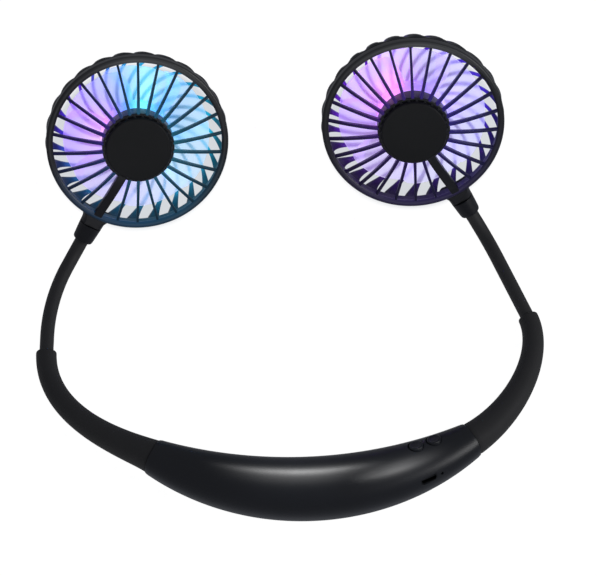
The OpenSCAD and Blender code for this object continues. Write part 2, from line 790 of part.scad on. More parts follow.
// Rings joined one to the next, and the last one to the first
function loop_faces(rows, cols) = [
    for (i = [0 : rows - 1]) for (j = [0 : cols - 1])
        let (k = (j + 1) % cols, n = (i + 1) % rows, a = i * cols + j, b = i * cols + k)
        each [[a, b, n * cols + k], [a, n * cols + k, n * cols + j]]
];

// The core and the lead inside the sleeve and the pod's end
module root_tube(side, outer_d, inner_d, over, end_back) {
    end_share = mouth_share(side, end_back);
    seat_share = mouth_share(side, neck_seat + slide_gap);
    shares = [for (i = [0 : sleeve_steps]) min(seat_share * i / sleeve_steps, end_share)];
    path = concat(
        [for (b = [over, over / 2]) pod_point(plug_turn(side, b), 0, 0)],
        [for (t = shares) sleeve_point(side, t)]
    );
    ways = concat(
        [for (b = [over, over / 2]) let (turn = plug_turn(side, b)) [side * cos(turn), side * sin(turn), 0]],
        [for (t = shares) sleeve_way(side, t)]
    );
    n = len(path);
    outer = [for (i = [0 : n - 1]) ring(path[i], ways[i], outer_d / 2, outer_d / 2, 2, tube_ring)];
    if (inner_d > 0) {
        inner = [for (i = [n - 1 : -1 : 0]) ring(path[i], ways[i], inner_d / 2, inner_d / 2, 2, tube_ring)];
        polyhedron(points = [for (r = concat(outer, inner)) each r], faces = loop_faces(2 * n, tube_ring));
    } else {
        polyhedron(points = [for (r = outer) each r], faces = ring_faces(n, tube_ring, true));
    }
}
module core_root(side) {
    color("#9a9c9f") root_tube(side, core_d, core_d - 2 * core_wall, core_over, neck_seat + 2 * slide_gap);
}
module lead_root(side) {
    color("#2f3033") root_tube(side, lead_d, 0, core_over + lead_over, neck_seat + 2 * slide_gap);
}

// Collar: a tapered ferrule with a journal for the stem and a socket for the neck
module collar(side) {
    color("#1a1a1b") at_collar(side) rotate([-90, 0, 0]) rotate_extrude() polygon([
        [neck_d / 2 + fit_gap, 0],
        [collar_neck_d / 2 - collar_edge, 0],
        [collar_neck_d / 2, collar_edge],
        [collar_d / 2, collar_len - collar_edge],
        [collar_d / 2 - collar_edge, collar_len],
        [stem_d / 2 + 2 * run_gap, collar_len],
        [stem_d / 2 + 2 * run_gap, collar_len - journal_len],
        [neck_d / 2 + fit_gap, collar_len - journal_len]
    ]);
}

// Turns a frame so that its Z runs out along the collar, from the head's axis
module along_collar() {
    translate([0, 0, collar_z]) rotate([90, 0, 0]) children();
}
boss_start = rim_r - rim_round;
boss_end = rim_r + fit_gap + slide_gap + boss_len;

// Height of the ribs' top line at a radius: a dome from the rim up to the hub
function dome_z(r) = hub_z - (hub_z - rim_rib_z) * pow((r - hub_r) / (opening_r - hub_r), dome_share);
function dome_r(i) = hub_r + (opening_r - hub_r) * i / dome_steps;
module dome_band(top, deep) {
    polygon(concat(
        [[hub_r - hub_wall / 2, hub_z + top]],
        [for (i = [0 : dome_steps]) [dome_r(i), dome_z(dome_r(i)) + top]],
        [[opening_r + rim_round, rim_rib_z + top], [opening_r + rim_round, rim_rib_z + top - deep]],
        [for (i = [dome_steps : -1 : 0]) [dome_r(i), max(dome_z(dome_r(i)) + top - deep, -rim_h)]],
        [[hub_r - hub_wall / 2, hub_z + top - deep]]
    ));
}

module thin_ribs() {
    intersection() {
        rotate_extrude() dome_band(0, rib_h);
        for (i = [1 : rib_count - 1]) rotate([0, 0, 360 * i / rib_count - 90])
            translate([hub_r - hub_wall / 2, -rib_w / 2, -rim_h]) cube([opening_r, rib_w, rim_h + 2 * hub_z]);
    }
}

// The wire arm: a wide rib that runs over the rim and down to the stem's boss
module wire_arm() {
    translate([-arm_w / 2, 0, 0]) rotate([90, 0, 90]) linear_extrude(arm_w) mirror([1, 0]) union() {
        dome_band(arm_top, arm_h);
        polygon([
            [opening_r, rim_rib_z + arm_top], [boss_end - rim_round, rim_rib_z + arm_top],
            [boss_end, collar_z + collar_d / 4], [boss_end, collar_z], [opening_r, -rim_h]
        ]);
    }
}

// Route of the head's lead, as distance from the axis and height: under the cap's lip, along the arm,
// through a notch in the swirl cover's spigot and down into the stem
wire_dip_z = rim_rib_z - arm_h / 2;
wire_in_z = hub_z - cap_lip_h - wire_t / 2 - slide_gap;
wire_route = [
    [boss_end + stem_len - wire_t, collar_z],
    [boss_end, collar_z],
    [rim_r + slide_gap, wire_dip_z],
    [opening_r, wire_dip_z],
    [(opening_r + hub_r) / 2, dome_z((opening_r + hub_r) / 2) - arm_h / 2],
    [hub_r, hub_z - arm_h / 2],
    [hub_r - hub_wall, wire_in_z],
    [motor_r + fit_gap, wire_in_z]
];
module wire_band(t, w, grow) {
    n = len(wire_route);
    translate([-w / 2, 0, 0]) rotate([90, 0, 90]) linear_extrude(w) mirror([1, 0]) polygon(concat(
        [for (i = [0 : n - 1]) [wire_route[i][0] + (i == 0 ? grow : 0), wire_route[i][1] + t / 2]],
        [for (i = [n - 1 : -1 : 0]) [wire_route[i][0] + (i == 0 ? grow : 0), wire_route[i][1] - t / 2]]
    ));
}

module ring_part(inner, outer, low, high) {
    translate([0, 0, low]) linear_extrude(high - low) difference() {
        circle(r = outer, $fn = 120);
        circle(r = inner, $fn = 120);
    }
}

module wedge(from, turn, r, low, high) {
    rotate([0, 0, from]) translate([0, 0, low]) rotate_extrude(angle = turn) square([r, high - low]);
}

module front_grille(side) {
    color("#19191b") at_head(side) difference() {
        union() {
            rotate_extrude($fn = 120) union() {
                translate([opening_r, -rim_h]) square([rim_r - opening_r, rim_h - rim_round]);
                translate([rim_r - rim_round, -rim_round]) circle(r = rim_round);
                translate([opening_r, -rim_round]) square([rim_r - rim_round - opening_r, rim_round]);
            }
            thin_ribs();
            wire_arm();
            ring_part(0, hub_r, hub_back_z, hub_z);
            stem_boss();
        }
        // Room for the motor, the cap's lip and the swirl cover's spigot
        translate([0, 0, hub_back_z + hub_floor_t]) cylinder(r = hub_r - hub_wall, h = 2 * hub_z);
        translate([0, 0, hub_back_z - cut_over]) cylinder(r = motor_boss_r + fit_gap, h = 2 * hub_z);
        ring_part(opening_r - cut_over, rim_r - skirt_wall, -rim_h - cut_over, -spigot_lip + slide_gap);
        bayonet_slots();
        along_collar() cylinder(d = stem_bore_d, h = 2 * rim_r);
        wire_band(wire_t + 2 * fit_gap, wire_w + 2 * fit_gap, 0);
    }
}

// Boss and hollow stem that turn in the collar; the swirl cover's band passes inside the boss
module stem_boss() {
    difference() {
        union() {
            intersection() {
                along_collar() rotate_extrude() polygon([
                    [0, boss_start], [collar_d / 2 + boss_flare, boss_start],
                    [collar_d / 2 + boss_flare, rim_r],
                    [collar_d / 2 + boss_flare / 4, boss_end - boss_len / 2],
                    [collar_d / 2, boss_end - collar_edge],
                    [collar_d / 2 - collar_edge, boss_end],
                    [0, boss_end]
                ]);
                translate([-collar_d, -2 * rim_r, collar_z - collar_d / 2])
                    cube([2 * collar_d, 2 * rim_r, collar_d / 2 - collar_z - rim_round / 2]);
            }
            along_collar() translate([0, 0, boss_end - cut_over])
                cylinder(d = stem_d, h = stem_len + cut_over);
        }
        ring_part(0, rim_r + scallop_out + slide_gap, collar_z - collar_d, -rim_h);
        ring_part(0, opening_r + rim_round, -rim_h - cut_over, cut_over);
        along_collar() translate([0, 0, boss_end + stem_len - groove_inset - groove_w]) difference() {
            cylinder(d = stem_d + cut_over, h = groove_w);
            translate([0, 0, -cut_over]) cylinder(d = stem_d - 2 * groove_depth, h = groove_w + 2 * cut_over);
        }
    }
}

module bayonet_slots() {
    for (i = [0 : lug_count - 1]) {
        at = lug_first + 360 * i / lug_count;
        slot_r = spigot_r + lug_out + fit_gap;
        slot_half = lug_turn / 2 + lug_play;
        intersection() {
            ring_part(spigot_r - cut_over, slot_r, -rim_h - cut_over, lug_z + lug_t + slide_gap);
            union() {
                wedge(at - slot_half, slot_half + unlock_turn, rim_r, lug_z - slide_gap, 0);
                wedge(at + unlock_turn - slot_half, 2 * slot_half, rim_r, -rim_h - 2 * cut_over, 0);
            }
        }
    }
}

module hub_cap(side) {
    color("#161617") at_head(side) rotate_extrude() polygon([
        [0, hub_z + cap_h - cap_bevel * 2], [cap_r - hub_wall - cap_lip_wall, hub_z + cap_h - cap_bevel * 2],
        [cap_r - hub_wall - cap_lip_wall, hub_z - cap_lip_h],
        [hub_r - hub_wall - fit_gap, hub_z - cap_lip_h], [hub_r - hub_wall - fit_gap, hub_z],
        [cap_r, hub_z],
        [cap_r, hub_z + cap_h - cap_bevel],
        [cap_r - cap_bevel, hub_z + cap_h],
        [0, hub_z + cap_h]
    ]);
}

module stem_clip(side) {
    color("silver") at_head(side) along_collar()
        translate([0, 0, boss_end + stem_len - groove_inset - groove_w / 2 - clip_t / 2])
            rotate_extrude(angle = clip_turn) translate([stem_d / 2 - groove_depth + run_gap, 0])
                square([clip_over + groove_depth, clip_t]);
}

motor_back_z = hub_back_z + hub_floor_t;
bush_back_z = hub_back_z - led_board_t;
bush_r = shaft_d / 2 + run_gap + bush_wall;
module motor_can(side) {
    color("#a4a7aa") at_head(side) difference() {
        union() {
            translate([0, 0, motor_back_z]) cylinder(r = motor_r, h = motor_h);
            translate([0, 0, bush_back_z])
                cylinder(r = motor_boss_r, h = motor_back_z - bush_back_z + cut_over);
        }
        translate([0, 0, bush_back_z - cut_over]) cylinder(r = bush_r, h = bush_len + cut_over);
        translate([0, 0, bush_back_z])
            cylinder(r = shaft_d / 2 + fit_gap, h = motor_back_z - bush_back_z + shaft_inside + fit_gap);
    }
}

module motor_bush(side) {
    color("#b08d57") at_head(side) translate([0, 0, bush_back_z]) difference() {
        cylinder(r = bush_r, h = bush_len);
        translate([0, 0, -cut_over]) cylinder(r = shaft_d / 2 + run_gap, h = bush_len + 2 * cut_over);
    }
}

module motor_shaft(side) {
    color("silver") at_head(side) translate([0, 0, impeller_back_z + impeller_hub_wall])
        cylinder(d = shaft_d, h = motor_back_z + shaft_inside - impeller_back_z - impeller_hub_wall);
}

module led_board(side) {
    color("#e8e8e4") at_head(side)
        ring_part(motor_boss_r + fit_gap, led_board_r, hub_back_z - led_board_t, hub_back_z);
}

module leds(side) {
    color("#e9d9ff") at_head(side) for (i = [0 : led_count - 1]) rotate([0, 0, 360 * i / led_count])
        translate([led_ring_r - led_w / 2, -led_w / 2, hub_back_z - led_board_t - led_h])
            cube([led_w, led_w, led_h]);
}

module head_lead(side) {
    color("#2f3033") at_head(side) wire_band(wire_t, wire_w - fit_gap, 0);
}

blade_low = impeller_back_z + blade_back_gap;
module impeller(side) {
    color("#cfd8ff") at_head(side) difference() {
        union() {
            ring_part(hub_r - impeller_hub_wall, hub_r, impeller_back_z, impeller_front_z);
            translate([0, 0, impeller_back_z]) cylinder(r = hub_r, h = impeller_hub_wall);
            translate([0, 0, impeller_back_z]) cylinder(r = impeller_boss_r, h = impeller_boss_h);
            intersection() {
                ring_part(hub_r - impeller_hub_wall / 2, impeller_r, blade_low, blade_low + blade_h);
                for (i = [0 : blade_count - 1]) rotate([0, 0, 360 * i / blade_count])
                    translate([impeller_r / 2, 0, blade_low + blade_h / 2]) rotate([blade_pitch, 0, 0])
                        cube([impeller_r, 4 * blade_h, blade_t], center = true);
            }
        }
        translate([0, 0, impeller_back_z + impeller_hub_wall]) cylinder(d = shaft_d, h = head_h);
    }
}

swirl_start_x = swirl_start_share * swirl_disc_r * swirl_disc_r / (2 * swirl_bend_r);

// Middle lines of the swirl ribs: arcs that pass through the axis
module swirl_lines() {
    for (i = [0 : swirl_count - 1]) rotate([0, 0, -90 + 360 * i / swirl_count]) intersection() {
        translate([swirl_bend_r, 0]) difference() {
            circle(r = swirl_bend_r + swirl_w / 2, $fn = 120);
            circle(r = swirl_bend_r - swirl_w / 2, $fn = 120);
        }
        translate([swirl_start_x, 0]) square([2 * rim_r, rim_r]);
    }
}

// Notch in the spigot, as wide as the wire and the turn that unlocks the cover
notch_turn = asin((wire_w / 2 + 2 * slide_gap) / (spigot_r - spigot_wall));
notch_z = wire_dip_z - wire_t / 2 - 2 * slide_gap;
module swirl_cover(side) {
    band_low = shell_top_z - band_h;
    back_z = -head_h;
    shoulder_h = band_low - back_z;
    shoulder_r = rim_r - shoulder_h;
    color("#1a1a1c") at_head(side) {
        // Scalloped band, spigot and lugs
        translate([0, 0, band_low]) linear_extrude(band_h) difference() {
            union() {
                circle(r = rim_r, $fn = 120);
                for (i = [0 : swirl_count - 1]) rotate([0, 0, 360 * i / swirl_count])
                    translate([rim_r + scallop_out - scallop_r, 0]) circle(r = scallop_r);
            }
            circle(r = spigot_r - spigot_wall, $fn = 120);
        }
        difference() {
            ring_part(spigot_r - spigot_wall, spigot_r, band_low, -spigot_lip);
            wedge(-90 - unlock_turn - notch_turn, unlock_turn + 2 * notch_turn, rim_r, notch_z, 0);
        }
        for (i = [0 : lug_count - 1]) intersection() {
            ring_part(spigot_r - spigot_wall / 2, spigot_r + lug_out, lug_z, lug_z + lug_t);
            wedge(lug_first + 360 * i / lug_count - lug_turn / 2, lug_turn, rim_r, lug_z - cut_over, 0);
        }
        // Bowl of swirl ribs with a closed disc in its middle
        intersection() {
            rotate_extrude($fn = 120) difference() {
                union() {
                    translate([0, back_z]) square([shoulder_r, shoulder_h]);
                    translate([shoulder_r, band_low]) intersection() {
                        circle(r = shoulder_h);
                        translate([0, -shoulder_h]) square(shoulder_h);
                    }
                    translate([rim_r - bowl_wall, band_low]) square([bowl_wall - scallop_out, bowl_overlap]);
                }
                translate([0, back_z + bowl_wall]) square([shoulder_r, shoulder_h]);
                translate([shoulder_r, band_low]) circle(r = shoulder_h - bowl_wall);
            }
            translate([0, 0, back_z - cut_over])
                linear_extrude(shoulder_h + cut_over + bowl_overlap) union() {
                swirl_lines();
                circle(r = swirl_disc_r);
            }
        }
    }
}

pod_upper_shell();
pod_lower_shell();
fan_button();
light_button();
usb_socket();
charge_light_pipe();
circuit_board();
tact_switches();
board_chips();
battery_cell();
battery_tabs();
battery_leads();
pod_screws();
board_screws();
sleeve(LEFT);  // left_sleeve
core_root(LEFT);  // left_core_root
lead_root(LEFT);  // left_lead_root
cover_lower(LEFT);  // left_cover_lower
core_lower(LEFT);  // left_core_lower
lead_lower(LEFT);  // left_lead_lower
cover_upper(LEFT);  // left_cover_upper
core_upper(LEFT);  // left_core_upper
lead_upper(LEFT);  // left_lead_upper
collar(LEFT);  // left_collar
front_grille(LEFT);  // left_front_grille
hub_cap(LEFT);  // left_hub_cap
stem_clip(LEFT);  // left_stem_clip
motor_can(LEFT);  // left_motor_can
motor_bush(LEFT);  // left_motor_bush
led_board(LEFT);  // left_led_board
leds(LEFT);  // left_leds
head_lead(LEFT);  // left_head_lead
impeller(LEFT);  // left_impeller
motor_shaft(LEFT);  // left_motor_shaft
swirl_cover(LEFT);  // left_swirl_cover
sleeve(RIGHT);  // right_sleeve
core_root(RIGHT);  // right_core_root
lead_root(RIGHT);  // right_lead_root
cover_lower(RIGHT);  // right_cover_lower
core_lower(RIGHT);  // right_core_lower
lead_lower(RIGHT);  // right_lead_lower
cover_upper(RIGHT);  // right_cover_upper
core_upper(RIGHT);  // right_core_upper
lead_upper(RIGHT);  // right_lead_upper
collar(RIGHT);  // right_collar
front_grille(RIGHT);  // right_front_grille
hub_cap(RIGHT);  // right_hub_cap
stem_clip(RIGHT);  // right_stem_clip
motor_can(RIGHT);  // right_motor_can
motor_bush(RIGHT);  // right_motor_bush
led_board(RIGHT);  // right_led_board
leds(RIGHT);  // right_leds
head_lead(RIGHT);  // right_head_lead
impeller(RIGHT);  // right_impeller
motor_shaft(RIGHT);  // right_motor_shaft
swirl_cover(RIGHT);  // right_swirl_cover
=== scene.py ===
"""Looks of a neck fan: a glossy back pod, rubber sleeves, bendable necks and two lit fan heads."""

import json
from math import acos, asin, atan2, cos, pi, radians, sin

import bmesh
import bpy
from mathutils import Matrix, Vector

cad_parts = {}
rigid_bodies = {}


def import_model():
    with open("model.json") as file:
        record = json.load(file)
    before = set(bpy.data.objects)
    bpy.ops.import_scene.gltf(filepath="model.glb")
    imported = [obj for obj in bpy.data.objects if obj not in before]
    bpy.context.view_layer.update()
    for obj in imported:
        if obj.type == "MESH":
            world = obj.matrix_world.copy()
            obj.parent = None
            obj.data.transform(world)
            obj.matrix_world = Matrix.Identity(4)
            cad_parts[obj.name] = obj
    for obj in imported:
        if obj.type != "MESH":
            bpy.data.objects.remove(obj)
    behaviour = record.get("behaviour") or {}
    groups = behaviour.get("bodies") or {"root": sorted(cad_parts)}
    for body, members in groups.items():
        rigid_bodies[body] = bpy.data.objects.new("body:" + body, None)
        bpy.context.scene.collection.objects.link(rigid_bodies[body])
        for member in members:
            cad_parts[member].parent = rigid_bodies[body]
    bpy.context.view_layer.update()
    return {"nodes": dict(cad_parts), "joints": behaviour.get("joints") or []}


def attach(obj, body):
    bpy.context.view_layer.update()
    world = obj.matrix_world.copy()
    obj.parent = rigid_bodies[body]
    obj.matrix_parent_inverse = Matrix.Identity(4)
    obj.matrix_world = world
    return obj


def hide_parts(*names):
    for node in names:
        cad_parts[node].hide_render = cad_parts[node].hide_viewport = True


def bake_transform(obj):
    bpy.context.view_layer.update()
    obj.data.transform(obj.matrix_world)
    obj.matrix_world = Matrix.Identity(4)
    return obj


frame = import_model()

MM = 0.001

# Camera: a long lens, from in front of and above the pod
IMAGE_W, IMAGE_H = 597, 576
FOCAL_PX = 2045
POD_PX = (314.9, 488.4)
VIEW_AZIMUTH, VIEW_ELEVATION = -3.2, 65
VIEW_DISTANCE = 900
POD_AIM = Vector((0, 0, 12))

# Pod, in millimetres, as all lengths below
POD_BEND_R, POD_SPAN = 142, 141.4
POD_DEPTH, POD_HEIGHT = 28, 24.2
POD_END_DEPTH, POD_END_HEIGHT = 15.8, 16.2
POD_WALL, REST_CUT, PARTING_Z = 1.8, 0.3, 8
POD_ROUND, POD_SWELL, POD_GROOVE = 2.4, 2.02, 0.14
POD_HALF_TURN = asin(POD_SPAN / 2 / POD_BEND_R)
POD_MID_Z = POD_HEIGHT / 2 - REST_CUT

# Buttons, socket and light pipe, placed in the leaning frame of the circuit board
BOARD_TURN, BOARD_LEAN, BOARD_TOP = 21.315, 35, -1.3
BUTTON_D, BUTTON_PITCH, BUTTON_PROUD, BUTTON_GAP, BUTTON_BEVEL = 6.6, 8.5, 0.5, 0.2, 0.25
FLANGE_T, FLANGE_OVER, STEM_R, SWITCH_TOP = 0.8, 0.7, 1.2, 3.9
USB_W, USB_H, USB_DEPTH, USB_SHIFT, USB_SHEET = 7.6, 2.6, 5.8, -5.3, 0.3
USB_MID = BOARD_TOP + USB_H / 2
PIPE_D, PIPE_X, PIPE_SUNK = 1.3, 1.2, 0.75
SLIDE_GAP, FIT_GAP = 0.3, 0.15
SCREW_SIDE, SCREW_INSET, SCREW_HEAD_D = 5, 8.2, 3.4

# Sleeves and necks
MOUTH_D, SLEEVE_ROOT, SLEEVE_ROUND, SLEEVE_TAPER, SLEEVE_NOSE = 9.4, 15, 2.3, 1.75, 0.9
SLEEVE_PLUG, NECK_SEAT, MOUTH_LIFT, REST_GAP = 5, 5, 0.15, 0.03
NECK_D, CORE_D, LEAD_D, CORE_WALL, RISE_R, NECK_PLUG = 6.4, 4.2, 1.8, 0.75, 20, 2.1
MOUTH_Z = MOUTH_D / 2 + MOUTH_LIFT
SIDES = {
    "left": dict(sign=-1, mouth=(118.5, 75), yaw=2.4, straight=7.5, bend_r=89, bend_turn=24.4,
                 rise_turn=16, rise=39.6, handles=(0.15, 0.46)),
    "right": dict(sign=1, mouth=(103, 80.5), yaw=19.2, straight=32.5, bend_r=260, bend_turn=2,
                  rise_turn=23.3, rise=46.8, handles=(0.38, 0.27)),
}

# Heads, measured from the plane of the near opening
RIM_R, OPENING_R, RIM_H, SKIRT_WALL, RIM_CREST = 41.7, 38.6, 4.4, 1, 1.8
RIB_COUNT, RIB_W, RIB_H, RIB_ROOT, RIM_RIB_Z, DOME_SHARE = 26, 1.05, 2.4, 0.4, -0.5, 1.5
ARM_W, ARM_H, ARM_TOP = 4, 3.6, 0.5
HUB_R, HUB_Z, HUB_BACK_Z, HUB_WALL, HUB_FLOOR = 16.5, 5, -3.2, 1.6, 1.4
CAP_R, CAP_H, CAP_BEVEL, CAP_TOP_T, CAP_SKIRT, CAP_ROOM = 15, 2.5, 0.91, 1.4, 1.8, 2.8
HEAD_H, BAND_H, SPIGOT_WALL, SPIGOT_LIP = 20, 2.3, 1.1, 1.6
SWIRL_COUNT, SWIRL_W, SWIRL_BEND_R, SWIRL_DISC_R = 26, 1.3, 26, 12.5
SWIRL_ROOT_R, SWIRL_ROOT = 31, 2.7
BOWL_WALL, LOBE_R, SCALLOP_OUT = 1.8, 12, 0.35
LOBE_TURN = -asin(RIM_R / (2 * SWIRL_BEND_R))
SPIGOT_R = RIM_R - SKIRT_WALL - SLIDE_GAP
BAND_TOP = -RIM_H - SLIDE_GAP
BAND_LOW = BAND_TOP - BAND_H
SHOULDER = HEAD_H + BAND_LOW

# Collars, and the boss and hollow stem that each head turns on
COLLAR_D, COLLAR_NECK_D, COLLAR_LEN, COLLAR_SEAT, COLLAR_Z = 10.8, 9.2, 8.5, 4, -5
STEM_D, STEM_LEN, STEM_BORE_R, BOSS_LEN, BOSS_FLARE = 4.8, 5.6, 1.3, 4, 1.4
BOSS_END = RIM_R + FIT_GAP + SLIDE_GAP + BOSS_LEN

# Impeller
IMPELLER_R, BLADE_COUNT, BLADE_T, BLADE_DROP, BLADE_SCOOP = 33.8, 7, 1.1, 7.2, 1.1
BLADE_REACH, BLADE_SPREAD, BLADE_SWEEP, BLADE_LIFT = 61, 5, 10, 3.5
IMPELLER_FRONT_Z, IMPELLER_BACK_Z, IMPELLER_WALL = -3.9, -15.4, 1.1
SHAFT_HOLE_R, STUD_R, STUD_H = 0.8, 2.6, 5

# Lamps that stand for the lit diodes beside the hub
LAMP_R, LAMP_Z, LAMP_SIZE = 19.5, -2.4, 4


# Small tools

def linear(code):
    """A colour given as an sRGB hex code, turned to linear."""
    parts = [int(code[i:i + 2], 16) / 255 for i in (1, 3, 5)]
    return [p / 12.92 if p <= 0.04045 else ((p + 0.055) / 1.055) ** 2.4 for p in parts] + [1]


def give(tree, node, **links):
    """Sets a node's inputs, by name or by n and a number; each is a value or another node's output."""
    for name, value in links.items():
        key = name.replace("_", " ")
        socket = node.inputs[int(key[1:])] if key[1:].isdigit() and key[0] == "n" else node.inputs[key]
        if isinstance(value, bpy.types.NodeSocket):
            tree.links.new(value, socket)
        else:
            socket.default_value = value


def add(tree, kind, settings=None, **links):
    """Adds a node with its settings and its inputs."""
    made = tree.nodes.new(kind)
    for name, value in (settings or {}).items():
        setattr(made, name, value)
    give(tree, made, **links)
    return made


def new_object(name, data):
    """An object in the scene for a mesh, a lamp or a camera."""
    made = bpy.data.objects.new(name, data)
    bpy.context.scene.collection.objects.link(made)
    return made


def mesh_object(name, verts, faces):
    """A mesh object at the origin, closed and with its faces pointing outwards."""
    name = name.replace(" ", "_")
    mesh = bpy.data.meshes.new(name)
    mesh.from_pydata([tuple(v) for v in verts], [], faces)
    work = bmesh.new()
    work.from_mesh(mesh)
    bmesh.ops.remove_doubles(work, verts=work.verts, dist=1e-7)
    bmesh.ops.recalc_face_normals(work, faces=work.faces)
    work.to_mesh(mesh)
    work.free()
    return new_object(name, mesh)


def settled(piece):
    """Turns what a piece's modifiers make into its plain mesh."""
    bpy.context.view_layer.update()
    evaluated = piece.evaluated_get(bpy.context.evaluated_depsgraph_get())
    mesh = bpy.data.meshes.new_from_object(evaluated)
    piece.modifiers.clear()
    piece.data = mesh
    return mesh


def finish_mesh(piece, material, place=None, sharp=35):
    """Applies modifiers and place to a piece's mesh, smooths it and gives it its material."""
    mesh = settled(piece)
    if place is not None:
        mesh.transform(place)
    mesh.polygons.foreach_set("use_smooth", [True] * len(mesh.polygons))
    mesh.set_sharp_from_angle(angle=radians(sharp))
    mesh.materials.clear()
    mesh.materials.append(material)
    return piece


def joined(name, pieces):
    """One mesh object from several whose places are in their meshes."""
    name = name.replace(" ", "_")
    work = bmesh.new()
    for piece in pieces:
        work.from_mesh(piece.data)
    mesh = bpy.data.meshes.new(name)
    work.to_mesh(mesh)
    work.free()
    materials = list(pieces[0].data.materials)
    for piece in pieces:
        bpy.data.objects.remove(piece)
    for material in materials:
        mesh.materials.append(material)
    return new_object(name, mesh)


def carried(piece, body, node=None):
    """Lets a piece ride on a body, and stand for a node if one is given."""
    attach(piece, body)
    if node:
        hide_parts(node)


def grid_faces(rows, cols, wrap_rows, wrap_cols):
    """Quads of a grid of points, closed on itself where asked."""
    faces = []
    for i in range(rows if wrap_rows else rows - 1):
        for j in range(cols if wrap_cols else cols - 1):
            n, k = (i + 1) % rows, (j + 1) % cols
            faces.append((i * cols + j, i * cols + k, n * cols + k, n * cols + j))
    return faces


def swept(name, rows, closed=False):
    """A skin over rings of points in millimetres, run back to the first ring where closed, else capped."""
    count = len(rows[0])
    last = (len(rows) - 1) * count
    faces = grid_faces(len(rows), count, closed, True)
    if not closed:
        faces += [tuple(range(count)), tuple(last + i for i in reversed(range(count)))]
    return mesh_object(name, [Vector(v) * MM for row in rows for v in row], faces)


def walled(name, outer, inner):
    """A closed wall between two grids of points in millimetres."""
    rows, cols = len(outer), len(outer[0])
    base = rows * cols
    faces = grid_faces(rows, cols, False, False)
    faces += [tuple(base + v for v in face) for face in faces]
    edges = [(i * cols + j, i * cols + j + 1) for i in (0, rows - 1) for j in range(cols - 1)]
    edges += [(i * cols + j, (i + 1) * cols + j) for j in (0, cols - 1) for i in range(rows - 1)]
    faces += [(a, b, base + b, base + a) for a, b in edges]
    verts = [Vector(v) * MM for grid in (outer, inner) for row in grid for v in row]
    return mesh_object(name, verts, faces)


def filleted(points, radius, steps=4):
    """A closed outline with each corner rounded; radius is one number or one for each corner."""
    out = []
    count = len(points)
    for i, point in enumerate(points):
        here, before, after = Vector(point), Vector(points[i - 1]), Vector(points[(i + 1) % count])
        r = radius[i] if isinstance(radius, (list, tuple)) else radius
        to_before, to_after = before - here, after - here
        r = min(r, to_before.length * 0.49, to_after.length * 0.49)
        if r <= 0:
            out.append(tuple(here))
            continue
        start, end = here + to_before.normalized() * r, here + to_after.normalized() * r
        for k in range(steps + 1):
            t = k / steps
            out.append(tuple(start * (1 - t) ** 2 + here * 2 * t * (1 - t) + end * t * t))
    return out


def lathe(name, outline, steps=128):
    """A closed outline of radius and height, turned about Z."""
    turns = [2 * pi * i / steps for i in range(steps)]
    return swept(name, [[(r * cos(a), r * sin(a), z) for r, z in outline] for a in turns], True)


def rounded(value, bulge):
    """A sine or cosine bent so that a circle becomes a rounded square, the more the bulge is over 2."""
    return (1 if value >= 0 else -1) * abs(value) ** (2 / bulge)


def ring(at, way, half, bulge, count):
    """A rounded ring of points square to a direction."""
    forward = way.normalized()
    right = forward.cross(Vector((0, 0, 1))).normalized()
    up = right.cross(forward)
    angles = [2 * pi * i / count for i in range(count)]
    return [at + right * half * rounded(cos(a), bulge) + up * half * rounded(sin(a), bulge) for a in angles]


def tube(name, path, outer, inner, count=28):
    """A tube along a path of (place, direction) pairs; inner 0 makes it solid."""
    rows = [ring(at, way, outer, 2, count) for at, way in path]
    if inner:
        rows += [ring(at, way, inner, 2, count) for at, way in reversed(path)]
    return swept(name, rows, bool(inner))


def cut_by(piece, cutters):
    """Cuts closed shapes out of a piece."""
    for cutter in cutters:
        cut = piece.modifiers.new("cut", "BOOLEAN")
        cut.operation, cut.object, cut.solver = "DIFFERENCE", cutter, "EXACT"
    settled(piece)
    for cutter in cutters:
        bpy.data.objects.remove(cutter)


def round_tree(material):
    """Geometry Nodes that repeat a piece around Z, with named inputs for count, first turn and step."""
    tree = bpy.data.node_groups.new("repeat around", "GeometryNodeTree")
    for name, kind in (("Piece", "NodeSocketGeometry"), ("Count", "NodeSocketInt"),
                       ("First turn", "NodeSocketFloat"), ("Step", "NodeSocketFloat")):
        tree.interface.new_socket(name, in_out="INPUT", socket_type=kind)
    tree.interface.new_socket("Pieces", in_out="OUTPUT", socket_type="NodeSocketGeometry")
    given = add(tree, "NodeGroupInput")
    places = add(tree, "GeometryNodeMeshLine", {"mode": "OFFSET"}, Count=given.outputs["Count"],
                 Offset=(0, 0, 0))
    index = add(tree, "GeometryNodeInputIndex")
    turned = add(tree, "ShaderNodeMath", {"operation": "MULTIPLY_ADD"}, n0=index.outputs[0],
                 n1=given.outputs["Step"], n2=given.outputs["First turn"])
    turn = add(tree, "ShaderNodeCombineXYZ", Z=turned.outputs[0])
    pieces = add(tree, "GeometryNodeInstanceOnPoints", Points=places.outputs["Mesh"],
                 Instance=given.outputs["Piece"], Rotation=turn.outputs[0])
    real = add(tree, "GeometryNodeRealizeInstances", Geometry=pieces.outputs[0])
    finished = add(tree, "GeometryNodeSetMaterial", Geometry=real.outputs[0], Material=material)
    add(tree, "NodeGroupOutput", n0=finished.outputs[0])
    return tree


def repeated(piece, material, place, count, first, step):
    """Repeats a piece around Z in its own frame, and leaves a plain mesh at a place."""
    tree = round_tree(material)
    around = piece.modifiers.new("repeat", "NODES")
    around.node_group = tree
    names = {item.name: item.identifier for item in tree.interface.items_tree if item.in_out == "INPUT"}
    for name, value in (("Count", count), ("First turn", first), ("Step", step)):
        around[names[name]] = value
    return finish_mesh(piece, material, place)


# Materials

